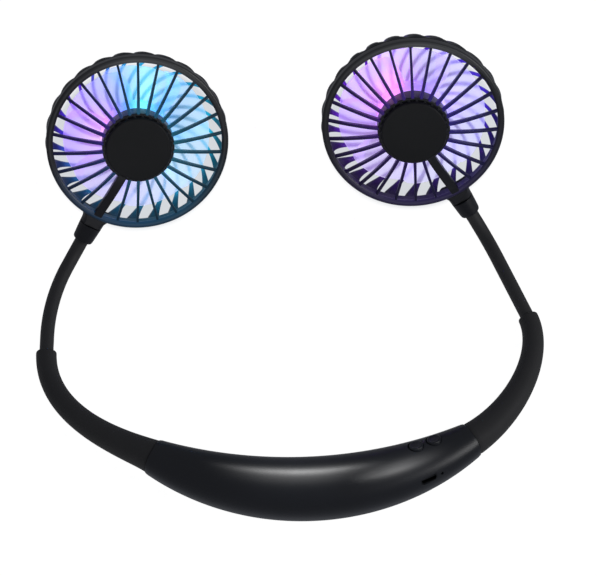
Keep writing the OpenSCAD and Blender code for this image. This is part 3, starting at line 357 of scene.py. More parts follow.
def new_material(name):
    """A material with its tree, its shader and the coordinates of the piece that wears it."""
    material = bpy.data.materials.new(name)
    material.use_nodes = True
    tree = material.node_tree
    return material, tree, tree.nodes["Principled BSDF"], add(tree, "ShaderNodeTexCoord").outputs["Object"]


def moulded(name, low, high, rough, rough_spread, grain_mm, grain_depth, specular=0.5):
    """Moulded plastic or rubber: two near colours in soft clouds, and the grain that its mould leaves."""
    cloud_mm, smear_mm = 14, 5
    material, tree, shader, place = new_material(name)
    clouds = add(tree, "ShaderNodeTexNoise", Vector=place, Scale=1 / (cloud_mm * MM), Detail=3.0,
                 Roughness=0.6)
    colour = add(tree, "ShaderNodeMix", {"data_type": "RGBA"}, n0=clouds.outputs[0], n6=linear(low),
                 n7=linear(high))
    grain = add(tree, "ShaderNodeTexNoise", Vector=place, Scale=1 / (grain_mm * MM), Detail=4.0,
                Roughness=0.55)
    smears = add(tree, "ShaderNodeTexNoise", Vector=place, Scale=1 / (smear_mm * MM), Detail=4.0,
                 Roughness=0.7)
    gloss = add(tree, "ShaderNodeMapRange", Value=smears.outputs[0], To_Min=rough - rough_spread,
                To_Max=rough + rough_spread)
    bump = add(tree, "ShaderNodeBump", Height=grain.outputs[0], Strength=grain_depth, Distance=0.05 * MM)
    give(tree, shader, Base_Color=colour.outputs[2], Roughness=gloss.outputs[0], Normal=bump.outputs[0],
         IOR=1.5, Specular_IOR_Level=specular)
    return material


def metal(name, low, high, rough, brush_mm, brush_stretch):
    """Turned, drawn or rolled metal, with fine lines along one direction."""
    material, tree, shader, place = new_material(name)
    stretched = add(tree, "ShaderNodeMapping", Vector=place, Scale=(1, brush_stretch, brush_stretch))
    lines = add(tree, "ShaderNodeTexNoise", Vector=stretched.outputs[0],
                Scale=1 / (brush_mm * MM * brush_stretch), Detail=3.0)
    colour = add(tree, "ShaderNodeMix", {"data_type": "RGBA"}, n0=lines.outputs[0], n6=linear(low),
                 n7=linear(high))
    gloss = add(tree, "ShaderNodeMapRange", Value=lines.outputs[0], To_Min=rough - 0.06, To_Max=rough + 0.1)
    bump = add(tree, "ShaderNodeBump", Height=lines.outputs[0], Strength=0.15, Distance=0.02 * MM)
    give(tree, shader, Base_Color=colour.outputs[2], Roughness=gloss.outputs[0], Normal=bump.outputs[0],
         Metallic=1)
    return material


def around_and_away(tree, place):
    """Share of a turn around a head's axis, and the distance from it, both in the head's own frame."""
    where = add(tree, "ShaderNodeTexCoord").outputs["Object"]
    local = add(tree, "ShaderNodeMapping", {"vector_type": "TEXTURE"}, Vector=where,
                Location=place.translation, Rotation=place.to_euler())
    axes = add(tree, "ShaderNodeSeparateXYZ", Vector=local.outputs[0])
    turn = add(tree, "ShaderNodeMath", {"operation": "ARCTAN2"}, n0=axes.outputs["Y"], n1=axes.outputs["X"])
    share = add(tree, "ShaderNodeMath", {"operation": "MULTIPLY_ADD"}, n0=turn.outputs[0], n1=0.5 / pi,
                n2=0.5)
    flat = add(tree, "ShaderNodeCombineXYZ", X=axes.outputs["X"], Y=axes.outputs["Y"])
    away = add(tree, "ShaderNodeVectorMath", {"operation": "LENGTH"}, n0=flat.outputs[0])
    return share.outputs[0], away.outputs["Value"]


def light_along(tree, share, stops):
    """Light that changes along a share, given as positions and colours."""
    ramp = add(tree, "ShaderNodeValToRGB", Fac=share)
    elements = ramp.color_ramp.elements
    while len(elements) < len(stops):
        elements.new(0.5)
    for element, (position, colour) in zip(elements, stops):
        element.position, element.color = position, colour
    return ramp.outputs[0]


def light_around(tree, share, colours):
    """Light around a head's full turn, given as angles and hex codes."""
    return light_along(tree, share, [(angle / 360 + 0.5, linear(code)) for angle, code in colours])


def paint_caught_light(material, place, colours, reach):
    """Painted light on a head's dark skin, given as a glow: the lamps' colours by angle, and on the rim
    also a painted grey highlight; shares by radius in millimetres.
    """
    tree = material.node_tree
    share, away = around_and_away(tree, place)
    outwards = add(tree, "ShaderNodeMath", {"operation": "DIVIDE"}, n0=away, n1=RIM_R * MM)
    give(tree, tree.nodes["Principled BSDF"], Emission_Color=light_around(tree, share, colours),
         Emission_Strength=light_along(tree, outwards.outputs[0],
                                       [(radius / RIM_R, (s, s, s, 1)) for radius, s in reach]))


def frosted_polycarbonate(name, place, glow):
    """Injection-moulded frosted polycarbonate: milky, with a painted glow in the lamps' colours that
    changes from its hub to its rim and also tints its base colour.
    """
    frost_mm = 0.5
    material, tree, shader, own = new_material(name)
    share, away = around_and_away(tree, place)
    fade = add(tree, "ShaderNodeMapRange", {"interpolation_type": "SMOOTHSTEP"}, Value=away,
               From_Min=(HUB_R - 2) * MM, From_Max=(IMPELLER_R - 4) * MM)
    colour = add(tree, "ShaderNodeMix", {"data_type": "RGBA"}, n0=fade.outputs[0],
                 n6=light_around(tree, share, glow["near_hub"]),
                 n7=light_around(tree, share, glow["near_rim"]))
    tint = add(tree, "ShaderNodeMix", {"data_type": "RGBA"}, n0=0.65, n6=colour.outputs[2],
               n7=linear("#f4f6ff"))
    soft = add(tree, "ShaderNodeTexNoise", Vector=own, Scale=1 / (frost_mm * MM), Detail=3.0)
    frost = add(tree, "ShaderNodeBump", Height=soft.outputs[0], Strength=0.2, Distance=0.05 * MM)
    give(tree, shader, Base_Color=tint.outputs[2], Emission_Color=colour.outputs[2],
         Emission_Strength=glow["bright"], Normal=frost.outputs[0], Roughness=0.3, IOR=1.35,
         Transmission_Weight=0.92)
    return material


def lamp_lens(name, code):
    """Clear cast epoxy over a lit diode: a bright spot, paler in patches."""
    patch_mm = 1.2
    material, tree, shader, place = new_material(name)
    patch = add(tree, "ShaderNodeTexNoise", Vector=place, Scale=1 / (patch_mm * MM))
    colour = add(tree, "ShaderNodeMix", {"data_type": "RGBA"}, n0=patch.outputs[0], n6=linear(code),
                 n7=linear("#ffffff"))
    give(tree, shader, Base_Color=colour.outputs[2], Emission_Color=colour.outputs[2], Emission_Strength=3,
         Roughness=0.2)
    return material


def circuit_laminate(name, mask, trace, pitch_mm):
    """Glass-epoxy board under printed solder mask, with copper runs showing through as raised lines."""
    material, tree, shader, place = new_material(name)
    runs = add(tree, "ShaderNodeTexBrick", Vector=place, Color1=linear(mask), Color2=linear(mask),
               Mortar=linear(trace), Scale=1 / (pitch_mm * MM), Mortar_Size=0.06)
    bump = add(tree, "ShaderNodeBump", Height=runs.outputs[1], Strength=0.3, Distance=0.03 * MM)
    give(tree, shader, Base_Color=runs.outputs[0], Normal=bump.outputs[0], Roughness=0.35)
    return material


# Numbers of moulded: roughness and its spread, the grain's size in mm and its depth, specular level;
# of metal: roughness, its lines' length in mm and their width as a share of it

# Polished ABS, from a polished mould: long soft reflections with a slight orange peel
polished_abs = moulded("polished black ABS", "#0b0d12", "#10131a", 0.34, 0.02, 2.2, 0.03, 0.4)
# Satin ABS, from an etched mould: the buttons, a shade duller than the pod
satin_button = moulded("satin black ABS button", "#0c0e13", "#11141b", 0.34, 0.05, 0.35, 0.12, 0.35)
# Moulded soft-touch rubber: a dull skin that scatters light widely
sleeve_rubber = moulded("soft-touch rubber", "#252526", "#2c2c2d", 0.66, 0.06, 0.5, 0.35, 0.25)
# Extruded silicone: dull and slightly dusty
neck_silicone = moulded("extruded silicone", "#29292a", "#303031", 0.58, 0.06, 0.45, 0.3, 0.25)
# Spark-eroded ABS: the heads' dark satin skin with a fine even grain
satin_abs = moulded("spark-eroded black ABS", "#0d0e13", "#14151b", 0.4, 0.05, 0.3, 0.3, 0.3)
# ABS teeth made paler as a painted highlight, so that they show around the hub cap
painted_highlight_teeth_abs = moulded("worn black ABS edge", "#26282d", "#34363c", 0.35, 0.05, 0.3, 0.2, 0.5)
# Fine-etched ABS: the hub caps, flat black without a clear reflection
hub_abs = moulded("fine-etched black ABS", "#0e0f11", "#131416", 0.52, 0.04, 0.25, 0.3, 0.2)
# Moulded nylon: the socket's tongue, black and dull
socket_plastic = moulded("black nylon insulator", "#08080a", "#0e0e10", 0.5, 0.05, 0.3, 0.2)
# Transfer-moulded epoxy: chips and switches, grey-black with a grain like fine sand
chip_epoxy = moulded("moulded epoxy package", "#0c0c0d", "#141415", 0.55, 0.05, 0.3, 0.3)
# Extruded PVC: the leads' jackets, slightly waxy
lead_jacket = moulded("PVC lead jacket", "#17181a", "#202124", 0.5, 0.05, 0.6, 0.2)
# Shrunk PVC film: the cell's glossy blue wrap, a little wavy
cell_wrap = moulded("blue PVC cell wrap", "#1f4f86", "#2a5f99", 0.28, 0.06, 1.2, 0.12)
# Moulded acrylic: the light pipe's smoked, smooth end
lens_acrylic = moulded("smoked acrylic pipe", "#1a1c1f", "#22252a", 0.15, 0.03, 1.0, 0.05)
# Blackened rolled steel: the socket's shell, dark with a dull shine
socket_steel = metal("blackened steel shell", "#2b2c2f", "#3d3e42", 0.42, 0.2, 0.1)
# Turned and drawn steel: screws, shafts and motor cans, with fine bright lines
steel_bright = metal("bright steel", "#8f9296", "#b4b7ba", 0.28, 0.2, 0.08)
# Nickel plate on stamped strip: tabs and clips, warm and bright
nickel_plate = metal("nickel plate", "#a39c8d", "#c2bcae", 0.3, 0.3, 0.1)
# Drawn steel: the necks' spines, grey with lines along them
steel_drawn = metal("drawn steel spine", "#7c7f83", "#a0a3a6", 0.36, 0.15, 0.05)
# Sintered bronze: the motors' bushes, brown and slightly porous
bronze_bush = metal("sintered bronze", "#8a6a35", "#a98648", 0.42, 0.2, 0.5)
# Etched laminate: the circuit board's green mask over its runs, and the lamp boards' white one
laminate_green = circuit_laminate("green circuit laminate", "#0f4a2c", "#2b7a4c", 2.4)
laminate_white = circuit_laminate("white lamp board laminate", "#d9dad6", "#b9bcb6", 3.1)


# Camera, floor and light

def make_camera():
    """The photograph's view: the pod's aim point falls on its pixel without any shift."""
    a, e = radians(VIEW_AZIMUTH), radians(VIEW_ELEVATION)
    back = Vector((sin(a) * cos(e), -cos(a) * cos(e), sin(e)))
    right = Vector((cos(a), sin(a), 0))
    up = back.cross(right)
    scale = VIEW_DISTANCE / FOCAL_PX
    place = (POD_AIM + back * VIEW_DISTANCE + up * (POD_PX[1] - IMAGE_H / 2) * scale
             - right * (POD_PX[0] - IMAGE_W / 2) * scale)
    camera = new_object("camera", bpy.data.cameras.new("camera"))
    camera.data.sensor_width = 36
    camera.data.lens = FOCAL_PX / IMAGE_W * camera.data.sensor_width
    camera.matrix_world = Matrix.Translation(place * MM) @ Matrix((right, up, back)).transposed().to_4x4()
    bpy.context.scene.camera = camera


def aimed(lamp, place, aim):
    """A lamp's object at a place, turned towards another; both in metres."""
    made = new_object(lamp.name, lamp)
    made.location = place
    made.rotation_euler = (Vector(aim) - Vector(place)).to_track_quat("-Z", "Y").to_euler()
    return made


def soft_light(name, place, aim, size, energy):
    """A rectangular soft box."""
    lamp = bpy.data.lights.new(name, "AREA")
    lamp.shape, lamp.size, lamp.size_y, lamp.energy = "RECTANGLE", size[0], size[1], energy
    return aimed(lamp, place, aim)


def narrow_light(name, place, aim, radius, spread, energy):
    """A spot, its spread in degrees, with a fully soft edge so that its reflection fades along the pod."""
    lamp = bpy.data.lights.new(name, "SPOT")
    lamp.energy, lamp.shadow_soft_size = energy, radius
    lamp.spot_size, lamp.spot_blend = radians(spread), 1
    return aimed(lamp, place, aim)


def pool_shade(tree, place):
    """Share of light on the floor: less in the painted pool of shade that each head throws along the view.
    """
    eye = bpy.context.scene.camera.matrix_world.translation
    step = 1 * MM
    share = None
    for name in SIDES:
        head = head_place(name)
        front = head.col[2].to_3d()

        def seen(point):
            """Where the line from the eye to a floor point meets the head's near plane, in its frame."""
            ray = point - eye
            hit = eye + ray * (head.translation - eye).dot(front) / ray.dot(front)
            return head.inverted() @ hit

        ray = head.translation - eye
        middle = eye + ray * (-eye.z / ray.z)
        across = [(seen(middle + Vector(way) * step) - seen(middle - Vector(way) * step)) / (2 * step)
                  for way in ((1, 0, 0), (0, 1, 0))]
        offset = add(tree, "ShaderNodeVectorMath", {"operation": "SUBTRACT"}, n0=place, n1=middle)
        parts = [add(tree, "ShaderNodeVectorMath", {"operation": "DOT_PRODUCT"}, n0=offset.outputs[0],
                     n1=(across[0][i], across[1][i], 0)).outputs["Value"] for i in (0, 1)]
        local = add(tree, "ShaderNodeCombineXYZ", X=parts[0], Y=parts[1])
        away = add(tree, "ShaderNodeVectorMath", {"operation": "LENGTH"}, n0=local.outputs[0])
        edge = add(tree, "ShaderNodeMapRange", {"interpolation_type": "SMOOTHSTEP"},
                   Value=away.outputs["Value"], From_Min=(OPENING_R - 1) * MM,
                   From_Max=(RIM_R + 0.5) * MM)
        share = edge.outputs[0] if share is None else add(
            tree, "ShaderNodeMath", {"operation": "MULTIPLY"}, n0=share, n1=edge.outputs[0]).outputs[0]
    return share


def make_floor():
    """A floor of backlit white acrylic: even and nearly white, with two painted pools of shade under the
    heads.
    """
    half, sunk, fibre_mm = 3, 0.0002, 2.5
    corners = [(-half, -half, 0), (half, -half, 0), (half, half, 0), (-half, half, 0)]
    floor = mesh_object("floor", corners, [(0, 1, 2, 3)])
    material, tree, shader, place = new_material("backlit white acrylic")
    fibre = add(tree, "ShaderNodeTexNoise", Vector=place, Scale=1 / (fibre_mm * MM), Detail=3.0)
    white = add(tree, "ShaderNodeMix", {"data_type": "RGBA"}, n0=fibre.outputs[0], n6=linear("#f4f4f4"),
                n7=linear("#fafafa"))
    shaded = add(tree, "ShaderNodeMix", {"data_type": "RGBA"}, n0=pool_shade(tree, place),
                 n6=linear("#cbced1"), n7=white.outputs[2])
    give(tree, shader, Base_Color=linear("#5c5c5c"), Roughness=0.9, Specular_IOR_Level=0,
         Emission_Color=shaded.outputs[2], Emission_Strength=1.06)
    floor.data.materials.append(material)
    floor.location.z = -sunk
    floor.visible_glossy = False


def light_scene():
    """A dim sky, two spots that draw the pod's streaks, and two soft fills; returns the heads' fill."""
    scene = bpy.context.scene
    scene.view_settings.view_transform = "Standard"
    scene.world = scene.world or bpy.data.worlds.new("world")
    scene.world.use_nodes = True
    sky = scene.world.node_tree.nodes["Background"]
    sky.inputs[0].default_value = linear("#f2f5ff")
    sky.inputs[1].default_value = 0.3
    narrow_light("long streak spot", (0.02, 0.485, 0.7), (-0.008, 0.001, 0.024), radius=0.015, spread=4.5,
                 energy=14)
    narrow_light("short streak spot", (0.1, 0.19, 0.87), (0.039, 0.003, 0.02), radius=0.012, spread=2.3,
                 energy=15)
    soft_light("right fill", (0.75, -0.15, 0.6), (0.05, 0.05, 0.02), size=(0.5, 0.5), energy=3.2)
    return soft_light("front fill", (0.0, -0.75, 0.5), (0, 0.12, 0.03), size=(0.8, 0.4), energy=1.1)


def light_only_heads(lamp):
    """Keeps a lamp's light on the heads' skins, so that it leaves the pod's streaks clean."""
    lit = bpy.data.collections.new("heads lit from the front")
    skins = ("front_grille", "rim", "ribs", "hub_cap", "swirl")
    for piece in bpy.data.objects:
        if piece.type == "MESH" and any(word in piece.name for word in skins):
            lit.objects.link(piece)
    lamp.light_linking.receiver_collection = lit


# Pod

def pod_half_depth(t):
    return (POD_DEPTH - (POD_DEPTH - POD_END_DEPTH) * abs(t) ** POD_SWELL) / 2


def pod_half_height(t):
    return (POD_HEIGHT - (POD_HEIGHT - POD_END_HEIGHT) * abs(t) ** POD_SWELL) / 2


def pod_point(turn, u, z):
    """A point of the pod by its turn about the bend, its way inwards and its height over the middle."""
    return Vector(((POD_BEND_R - u) * sin(turn), POD_BEND_R - (POD_BEND_R - u) * cos(turn), POD_MID_Z + z))


def pod_reach(t, lean, inset=0):
    """How far the pod's skin is from its middle line in a direction that leans from upright."""
    w, h = pod_half_depth(t) - inset, pod_half_height(t) - inset
    a = radians(lean)
    return (abs(sin(a) / w) ** POD_ROUND + abs(cos(a) / h) ** POD_ROUND) ** (-1 / POD_ROUND)


def board_place():
    """Frame of the circuit board: X along the pod, Z out of it towards the buttons."""
    turn = radians(BOARD_TURN)
    return (Matrix.Translation(pod_point(turn, 0, 0)) @ Matrix.Rotation(turn, 4, "Z")
            @ Matrix.Rotation(-radians(BOARD_LEAN), 4, "X"))


def board_share(offset):
    """Share of the pod's half turn at a distance along the board."""
    return (radians(BOARD_TURN) + asin(offset / POD_BEND_R)) / POD_HALF_TURN


def in_metres(place):
    """A frame whose place is in millimetres, turned to metres."""
    scaled = place.copy()
    scaled.translation = place.translation * MM
    return scaled


def pod_shell(name, upper, stations=150, around=64):
    """One pod shell with a wall; its edges fall away a little at the parting line and at its ends."""
    layers = []
    for inset in (0, POD_WALL):
        rows = []
        for k in range(stations + 1):
            t = 2 * k / stations - 1
            w, h = pod_half_depth(t) - inset, pod_half_height(t) - inset
            part = -asin(((POD_MID_Z - PARTING_Z) / h) ** (POD_ROUND / 2))
            low, high = (part, pi - part) if upper else (pi - part, 2 * pi + part)
            row = []
            for i in range(around + 1):
                a = low + (high - low) * i / around
                u, z = -w * rounded(cos(a), POD_ROUND), h * rounded(sin(a), POD_ROUND)
                if inset == 0:
                    pull = POD_GROOVE * ((i in (0, around)) + (k in (0, stations)))
                    u, z = u * (1 - pull / w), z * (1 - pull / h)
                point = pod_point(t * POD_HALF_TURN, u, z)
                point.z = max(point.z, 0)
                row.append(point)
            rows.append(row)
        layers.append(rows)
    return walled(name, *layers)


def button_cutter(offset):
    """What is cut from the pod for a button: a bore that widens at the skin."""
    reach = pod_reach(board_share(offset), BOARD_LEAN)
    r = BUTTON_D / 2 + BUTTON_GAP
    outline = [(0, 3), (r, 3), (r, reach - 2 * BUTTON_BEVEL), (r + BUTTON_BEVEL, reach + 0.1),
               (r + BUTTON_BEVEL, reach + 4), (0, reach + 4)]
    cutter = lathe("button cutter", outline, 72)
    cutter.data.transform(in_metres(board_place() @ Matrix.Translation((offset, 0, 0))))
    return cutter


def slot_outline(w, h):
    """Outline of a micro socket: a wide top and a narrower bottom."""
    cut = h * 0.36
    points = [(-w / 2, h / 2), (-w / 2, -h / 2 + cut), (-w / 2 + cut, -h / 2), (w / 2 - cut, -h / 2),
              (w / 2, -h / 2 + cut), (w / 2, h / 2)]
    return filleted(points, 0.35, 3)


def slot_prism(name, outline, front, back):
    """The outline of the socket, stretched from front to back along the board's Y."""
    made = swept(name, [[(x + USB_SHIFT, y, z + USB_MID) for x, z in outline] for y in (front, back)])
    made.data.transform(in_metres(board_place()))
    return made


def turned_pin(name, r, low, high, place, edge=0.0, steps=48):
    """A pin or bore about the Z of a place, between two heights."""
    made = lathe(name, filleted([(0, low), (r, low), (r, high), (0, high)], [0, edge, edge, 0], 3), steps)
    made.data.transform(in_metres(place))
    return made


def make_pod():
    """Both glossy shells with their openings, the light pipe's end and the socket."""
    usb_front = pod_reach(board_share(USB_SHIFT), 90 - BOARD_LEAN)
    pipe_place = board_place() @ Matrix.Translation((PIPE_X, 0, USB_MID)) @ Matrix.Rotation(pi / 2, 4, "X")
    upper = pod_shell("pod upper skin", True)
    cut_by(upper, [
        button_cutter(-BUTTON_PITCH / 2), button_cutter(BUTTON_PITCH / 2),
        slot_prism("slot cutter", slot_outline(USB_W + 2 * FIT_GAP, USB_H + 2 * FIT_GAP), -2 * usb_front,
                   -usb_front + USB_DEPTH),
        turned_pin("pipe cutter", PIPE_D / 2 + 0.05, 3, 2 * usb_front, pipe_place),
    ])
    lower = pod_shell("pod lower skin", False)
    screw_turn = POD_HALF_TURN - asin(SCREW_INSET / POD_BEND_R)
    cut_by(lower, [
        turned_pin("screw hole", SCREW_HEAD_D / 2 + FIT_GAP, -4, 3.2,
                   Matrix.Translation(pod_point(side * screw_turn, u, -POD_MID_Z)))
        for side in (-1, 1) for u in (-SCREW_SIDE, SCREW_SIDE)])
    for shell, node in ((upper, "pod_upper_shell"), (lower, "pod_lower_shell")):
        carried(finish_mesh(shell, polished_abs, sharp=40), "band", node)

    reach = pod_reach(board_share(PIPE_X), 90 - BOARD_LEAN)
    pipe = turned_pin("charge light pipe end", PIPE_D / 2, reach - POD_WALL - 0.7, reach - PIPE_SUNK,
                      pipe_place, 0.2)
    carried(finish_mesh(pipe, lens_acrylic), "band", "charge_light_pipe")
    make_socket(usb_front)


def make_socket(usb_front):
    """Folded steel shell of the socket with its black tongue."""
    front, back = -usb_front + SLIDE_GAP, -usb_front + SLIDE_GAP + USB_DEPTH
    shell = slot_prism("socket shell", slot_outline(USB_W, USB_H), front, back)
    room = slot_outline(USB_W - 2 * USB_SHEET, USB_H - 2 * USB_SHEET)
    cut_by(shell, [slot_prism("socket room", room, front - 2, back - USB_SHEET)])
    carried(finish_mesh(shell, socket_steel, sharp=30), "band", "usb_socket")
    tongue = filleted([(-2.6, 0.75), (-2.6, 0.15), (2.6, 0.15), (2.6, 0.75)], 0.12, 2)
    tongue = slot_prism("socket tongue", tongue, front + 0.9, back - USB_SHEET)
    carried(finish_mesh(tongue, socket_plastic), "band")


def make_button(name, node, offset):
    """A round key with a dished, softly edged top and a flange that keeps it in."""
    share = board_share(offset)
    top = pod_reach(share, BOARD_LEAN) + BUTTON_PROUD
    flange = pod_reach(share, BOARD_LEAN, POD_WALL * 1.5) - SLIDE_GAP
    r = BUTTON_D / 2
    outline = [(0, flange - FLANGE_T), (r + FLANGE_OVER, flange - FLANGE_T), (r + FLANGE_OVER, flange),
               (r, flange), (r, top - 0.5), (r - 0.12, top - 0.28), (r - 0.4, top - 0.1),
               (r - 0.9, top - 0.01)]
    outline += [(r * s, top - 0.16 * (1 - s * s)) for s in (0.65, 0.5, 0.35, 0.2, 0)]
    key = lathe(name, outline, 72)
    stem_low = BOARD_TOP + SWITCH_TOP + SLIDE_GAP
    stem = turned_pin(name + " stem", STEM_R, stem_low, flange - FLANGE_T / 2, Matrix.Identity(4))
    key = joined(name, [key, stem])
    finish_mesh(key, satin_button, in_metres(board_place() @ Matrix.Translation((offset, 0, 0))))
    carried(key, node, node)


# Sleeves, necks and collars

def turned_by(sign, r, sweep):
    """The step along an arc of a radius, away from or towards the middle by its sign."""
    return (Matrix.Translation((-sign * r, 0, 0)) @ Matrix.Rotation(sign * sweep, 4, "Z")
            @ Matrix.Translation((sign * r, 0, 0)))


def neck_frames(s):
    """Frames of one neck: at its mouth, where it starts to rise, and at its collar; Y runs along it."""
    sign = s["sign"]
    bend, turn, rise = radians(s["bend_turn"]), radians(s["rise_turn"]), radians(s["rise"])
    dip = asin((MOUTH_Z - NECK_D / 2 - REST_GAP) / (s["straight"] + s["bend_r"] * sin(bend)))
    sweep = acos(cos(turn) * cos(rise))
    tilt = atan2(sin(rise), sin(turn) * cos(rise))
    mouth = (Matrix.Translation((sign * s["mouth"][0], s["mouth"][1], MOUTH_Z))
             @ Matrix.Rotation(sign * radians(s["yaw"]), 4, "Z") @ Matrix.Rotation(-dip, 4, "X"))
    low = mouth @ Matrix.Translation((0, s["straight"], 0)) @ turned_by(sign, s["bend_r"], bend)
    rise_start = low @ Matrix.Rotation(sign * tilt, 4, "Y")
    collar = rise_start @ turned_by(sign, RISE_R, sweep)
    return mouth, rise_start, collar, sweep, bend


def step_of(place):
    """Place and heading of a frame on a neck."""
    return place.translation.copy(), place.to_3x3() @ Vector((0, 1, 0))


def neck_paths(s):
    """Paths of the lower and the upper stretch of one neck."""
    mouth, rise_start, collar, sweep, bend = neck_frames(s)
    sign = s["sign"]
    lower = [mouth @ Matrix.Translation((0, -NECK_SEAT + (s["straight"] + NECK_SEAT) * i / 14, 0))
             for i in range(14)]
    start = mouth @ Matrix.Translation((0, s["straight"], 0))
    lower += [start @ turned_by(sign, s["bend_r"], bend * i / 30) for i in range(31)]
    upper = [rise_start @ turned_by(sign, RISE_R, sweep * i / 24) for i in range(25)]
    upper += [collar @ Matrix.Translation((0, NECK_PLUG * i / 2, 0)) for i in (1, 2)]
    return [step_of(p) for p in lower], [step_of(p) for p in upper]


def make_neck(name, s):
    """Silicone cover, steel spine and lead, each in two stretches."""
    mouth, rise_start, collar = [p.translation * MM for p in neck_frames(s)[:3]]
    lower, upper = neck_paths(s)
    layers = (("cover", NECK_D / 2, CORE_D / 2 + FIT_GAP, neck_silicone, "neck_silicone"),
              ("core", CORE_D / 2, CORE_D / 2 - CORE_WALL, steel_drawn, "steel"),
              ("lead", LEAD_D / 2, 0, lead_jacket, "lead_rubber"))
    for layer, outer, inner, material, slot_name in layers:
        for part, path, bodies, start, end in (
                ("lower", lower, ("band", name + "_arm"), mouth, rise_start),
                ("upper", upper, (name + "_arm", name + "_collar"), rise_start, collar)):
            piece = tube(f"{name} {layer} {part} skin", path, outer, inner, 36 if layer == "cover" else 16)
            finish_mesh(piece, material, sharp=50)
            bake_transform(piece)
            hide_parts(f"{name}_{layer}_{part}")


def sleeve_curve(s):
    """The sleeve's middle line as a function of a share, with its direction."""
    sign = s["sign"]
    end, heading = step_of(neck_frames(s)[0])
    start = pod_point(sign * POD_HALF_TURN, 0, 0)
    start_way = Vector((sign * cos(POD_HALF_TURN), sin(POD_HALF_TURN), 0))
    length = (end - start).length
    a, b = start + start_way * length * s["handles"][0], end - heading * length * s["handles"][1]

    def at(t):
        place = start * (1 - t) ** 3 + a * 3 * t * (1 - t) ** 2 + b * 3 * t * t * (1 - t) + end * t ** 3
        way = (a - start) * 3 * (1 - t) ** 2 + (b - a) * 6 * t * (1 - t) + (end - b) * 3 * t * t
        return place, way
    return at, (end - b).length, end, heading


def make_sleeve(name, s):
    """Moulded rubber sleeve, plugged into the pod and open at its mouth, with a bore for the spine."""
    at, handle, end, heading = sleeve_curve(s)
    sign = s["sign"]
    count, steps = 56, 90
    last = 1 - SLEEVE_NOSE / (3 * handle)
    core = CORE_D / 2 + FIT_GAP

    def half(t):
        return (SLEEVE_ROOT + (MOUTH_D - SLEEVE_ROOT) * (1 - (1 - t) ** SLEEVE_TAPER)) / 2

    def bulge(t):
        return SLEEVE_ROUND + (2 - SLEEVE_ROUND) * t

    def in_pod(back):
        turn = sign * (POD_HALF_TURN - asin(back / POD_BEND_R))
        way = Vector((sign * cos(turn), sign * sin(turn), 0))
        return pod_point(turn, 0, 0), way, abs(turn) / POD_HALF_TURN

    rows = []
    for back in (SLEEVE_PLUG, 0.25):
        place, way, t = in_pod(back)
        rows.append(ring(place, way, pod_half_depth(t) - POD_WALL - SLIDE_GAP, POD_ROUND, count))
    rows.append(ring(*at(0), half(0) - 0.9, bulge(0), count))
    rows.append(ring(*at(0.004), half(0) - 0.3, bulge(0), count))
    for i in range(1, steps + 1):
        t = 0.008 + (last - 0.008) * i / steps
        rows.append(ring(*at(t), half(t), bulge(t), count))
    for turn in [radians(a) for a in (20, 40, 60, 75, 90)]:
        t = last + (1 - last) * sin(turn)
        rows.append(ring(*at(t), MOUTH_D / 2 - SLEEVE_NOSE * 0.8 * (1 - cos(turn)), 2, count))
    hole, seat = NECK_D / 2 + SLIDE_GAP, NECK_SEAT + SLIDE_GAP
    for back, r in ((0, hole), (seat, hole), (seat, core)):
        rows.append(ring(end - heading * back, heading, r, 2, count))
    seat_share = 1 - seat / (3 * handle)
    rows += [ring(*at(seat_share * (1 - i / 20)), core, 2, count) for i in range(1, 21)]
    rows.append(ring(*in_pod(SLEEVE_PLUG)[:2], core, 2, count))
    skin = finish_mesh(swept(f"{name} sleeve skin", rows, True), sleeve_rubber, sharp=45)
    carried(skin, "band", f"{name}_sleeve")


def make_collar(name, s):
    """Tapered ferrule, turned, with a fine step where it meets the head's boss."""
    small, large = COLLAR_NECK_D / 2, COLLAR_D / 2
    bore, stem = NECK_D / 2 + FIT_GAP, STEM_D / 2 + 0.06
    outline = filleted([
        (bore, 0), (small, 0), (small + 0.25, 1.2), (large, COLLAR_LEN), (stem, COLLAR_LEN),
        (stem, COLLAR_LEN - COLLAR_SEAT), (bore, COLLAR_LEN - COLLAR_SEAT)
    ], [0.1, 0.45, 0.3, 0.15, 0.1, 0, 0], 5)
    piece = lathe(f"{name} collar skin", outline, 96)
    finish_mesh(piece, satin_abs, in_metres(neck_frames(s)[2] @ Matrix.Rotation(-pi / 2, 4, "X")))
    carried(piece, name + "_collar", name + "_collar")


# Heads

def head_place(name):
    """Frame of a head, from its joints: Z out of the near side, Y away from the collar."""
    joints = {joint["name"]: joint for joint in frame["joints"]}
    spin, swivel = joints[name + "_impeller_spin"], joints[name + "_head_swivel"]
    z, y = Vector(spin["axis"]).normalized(), Vector(swivel["axis"]).normalized()
    x = y.cross(z).normalized()
    turned = Matrix((x, z.cross(x), z)).transposed().to_4x4()
    return Matrix.Translation(Vector(spin["pos_m"])) @ turned


def dome_z(r):
    """Height of the near ribs' tops at a radius, from the rim up to the hub."""
    return HUB_Z - (HUB_Z - RIM_RIB_Z) * max(0, (r - HUB_R) / (OPENING_R - HUB_R)) ** DOME_SHARE


def rib_bar(name, w, top, deep, start, end, steps, edge):
    """A bar that follows the dome from the hub to the rim, along X, with rounded edges."""
    section = filleted([(-w / 2, 0), (w / 2, 0), (w / 2, -deep), (-w / 2, -deep)], edge, 3)
    rows = []
    for i in range(steps + 1):
        r = start + (end - start) * i / steps
        wider = 1 + RIB_ROOT * (1 - i / steps) ** 2
        rows.append([(r, y * wider, dome_z(r) + top + z) for y, z in section])
    return swept(name, rows)


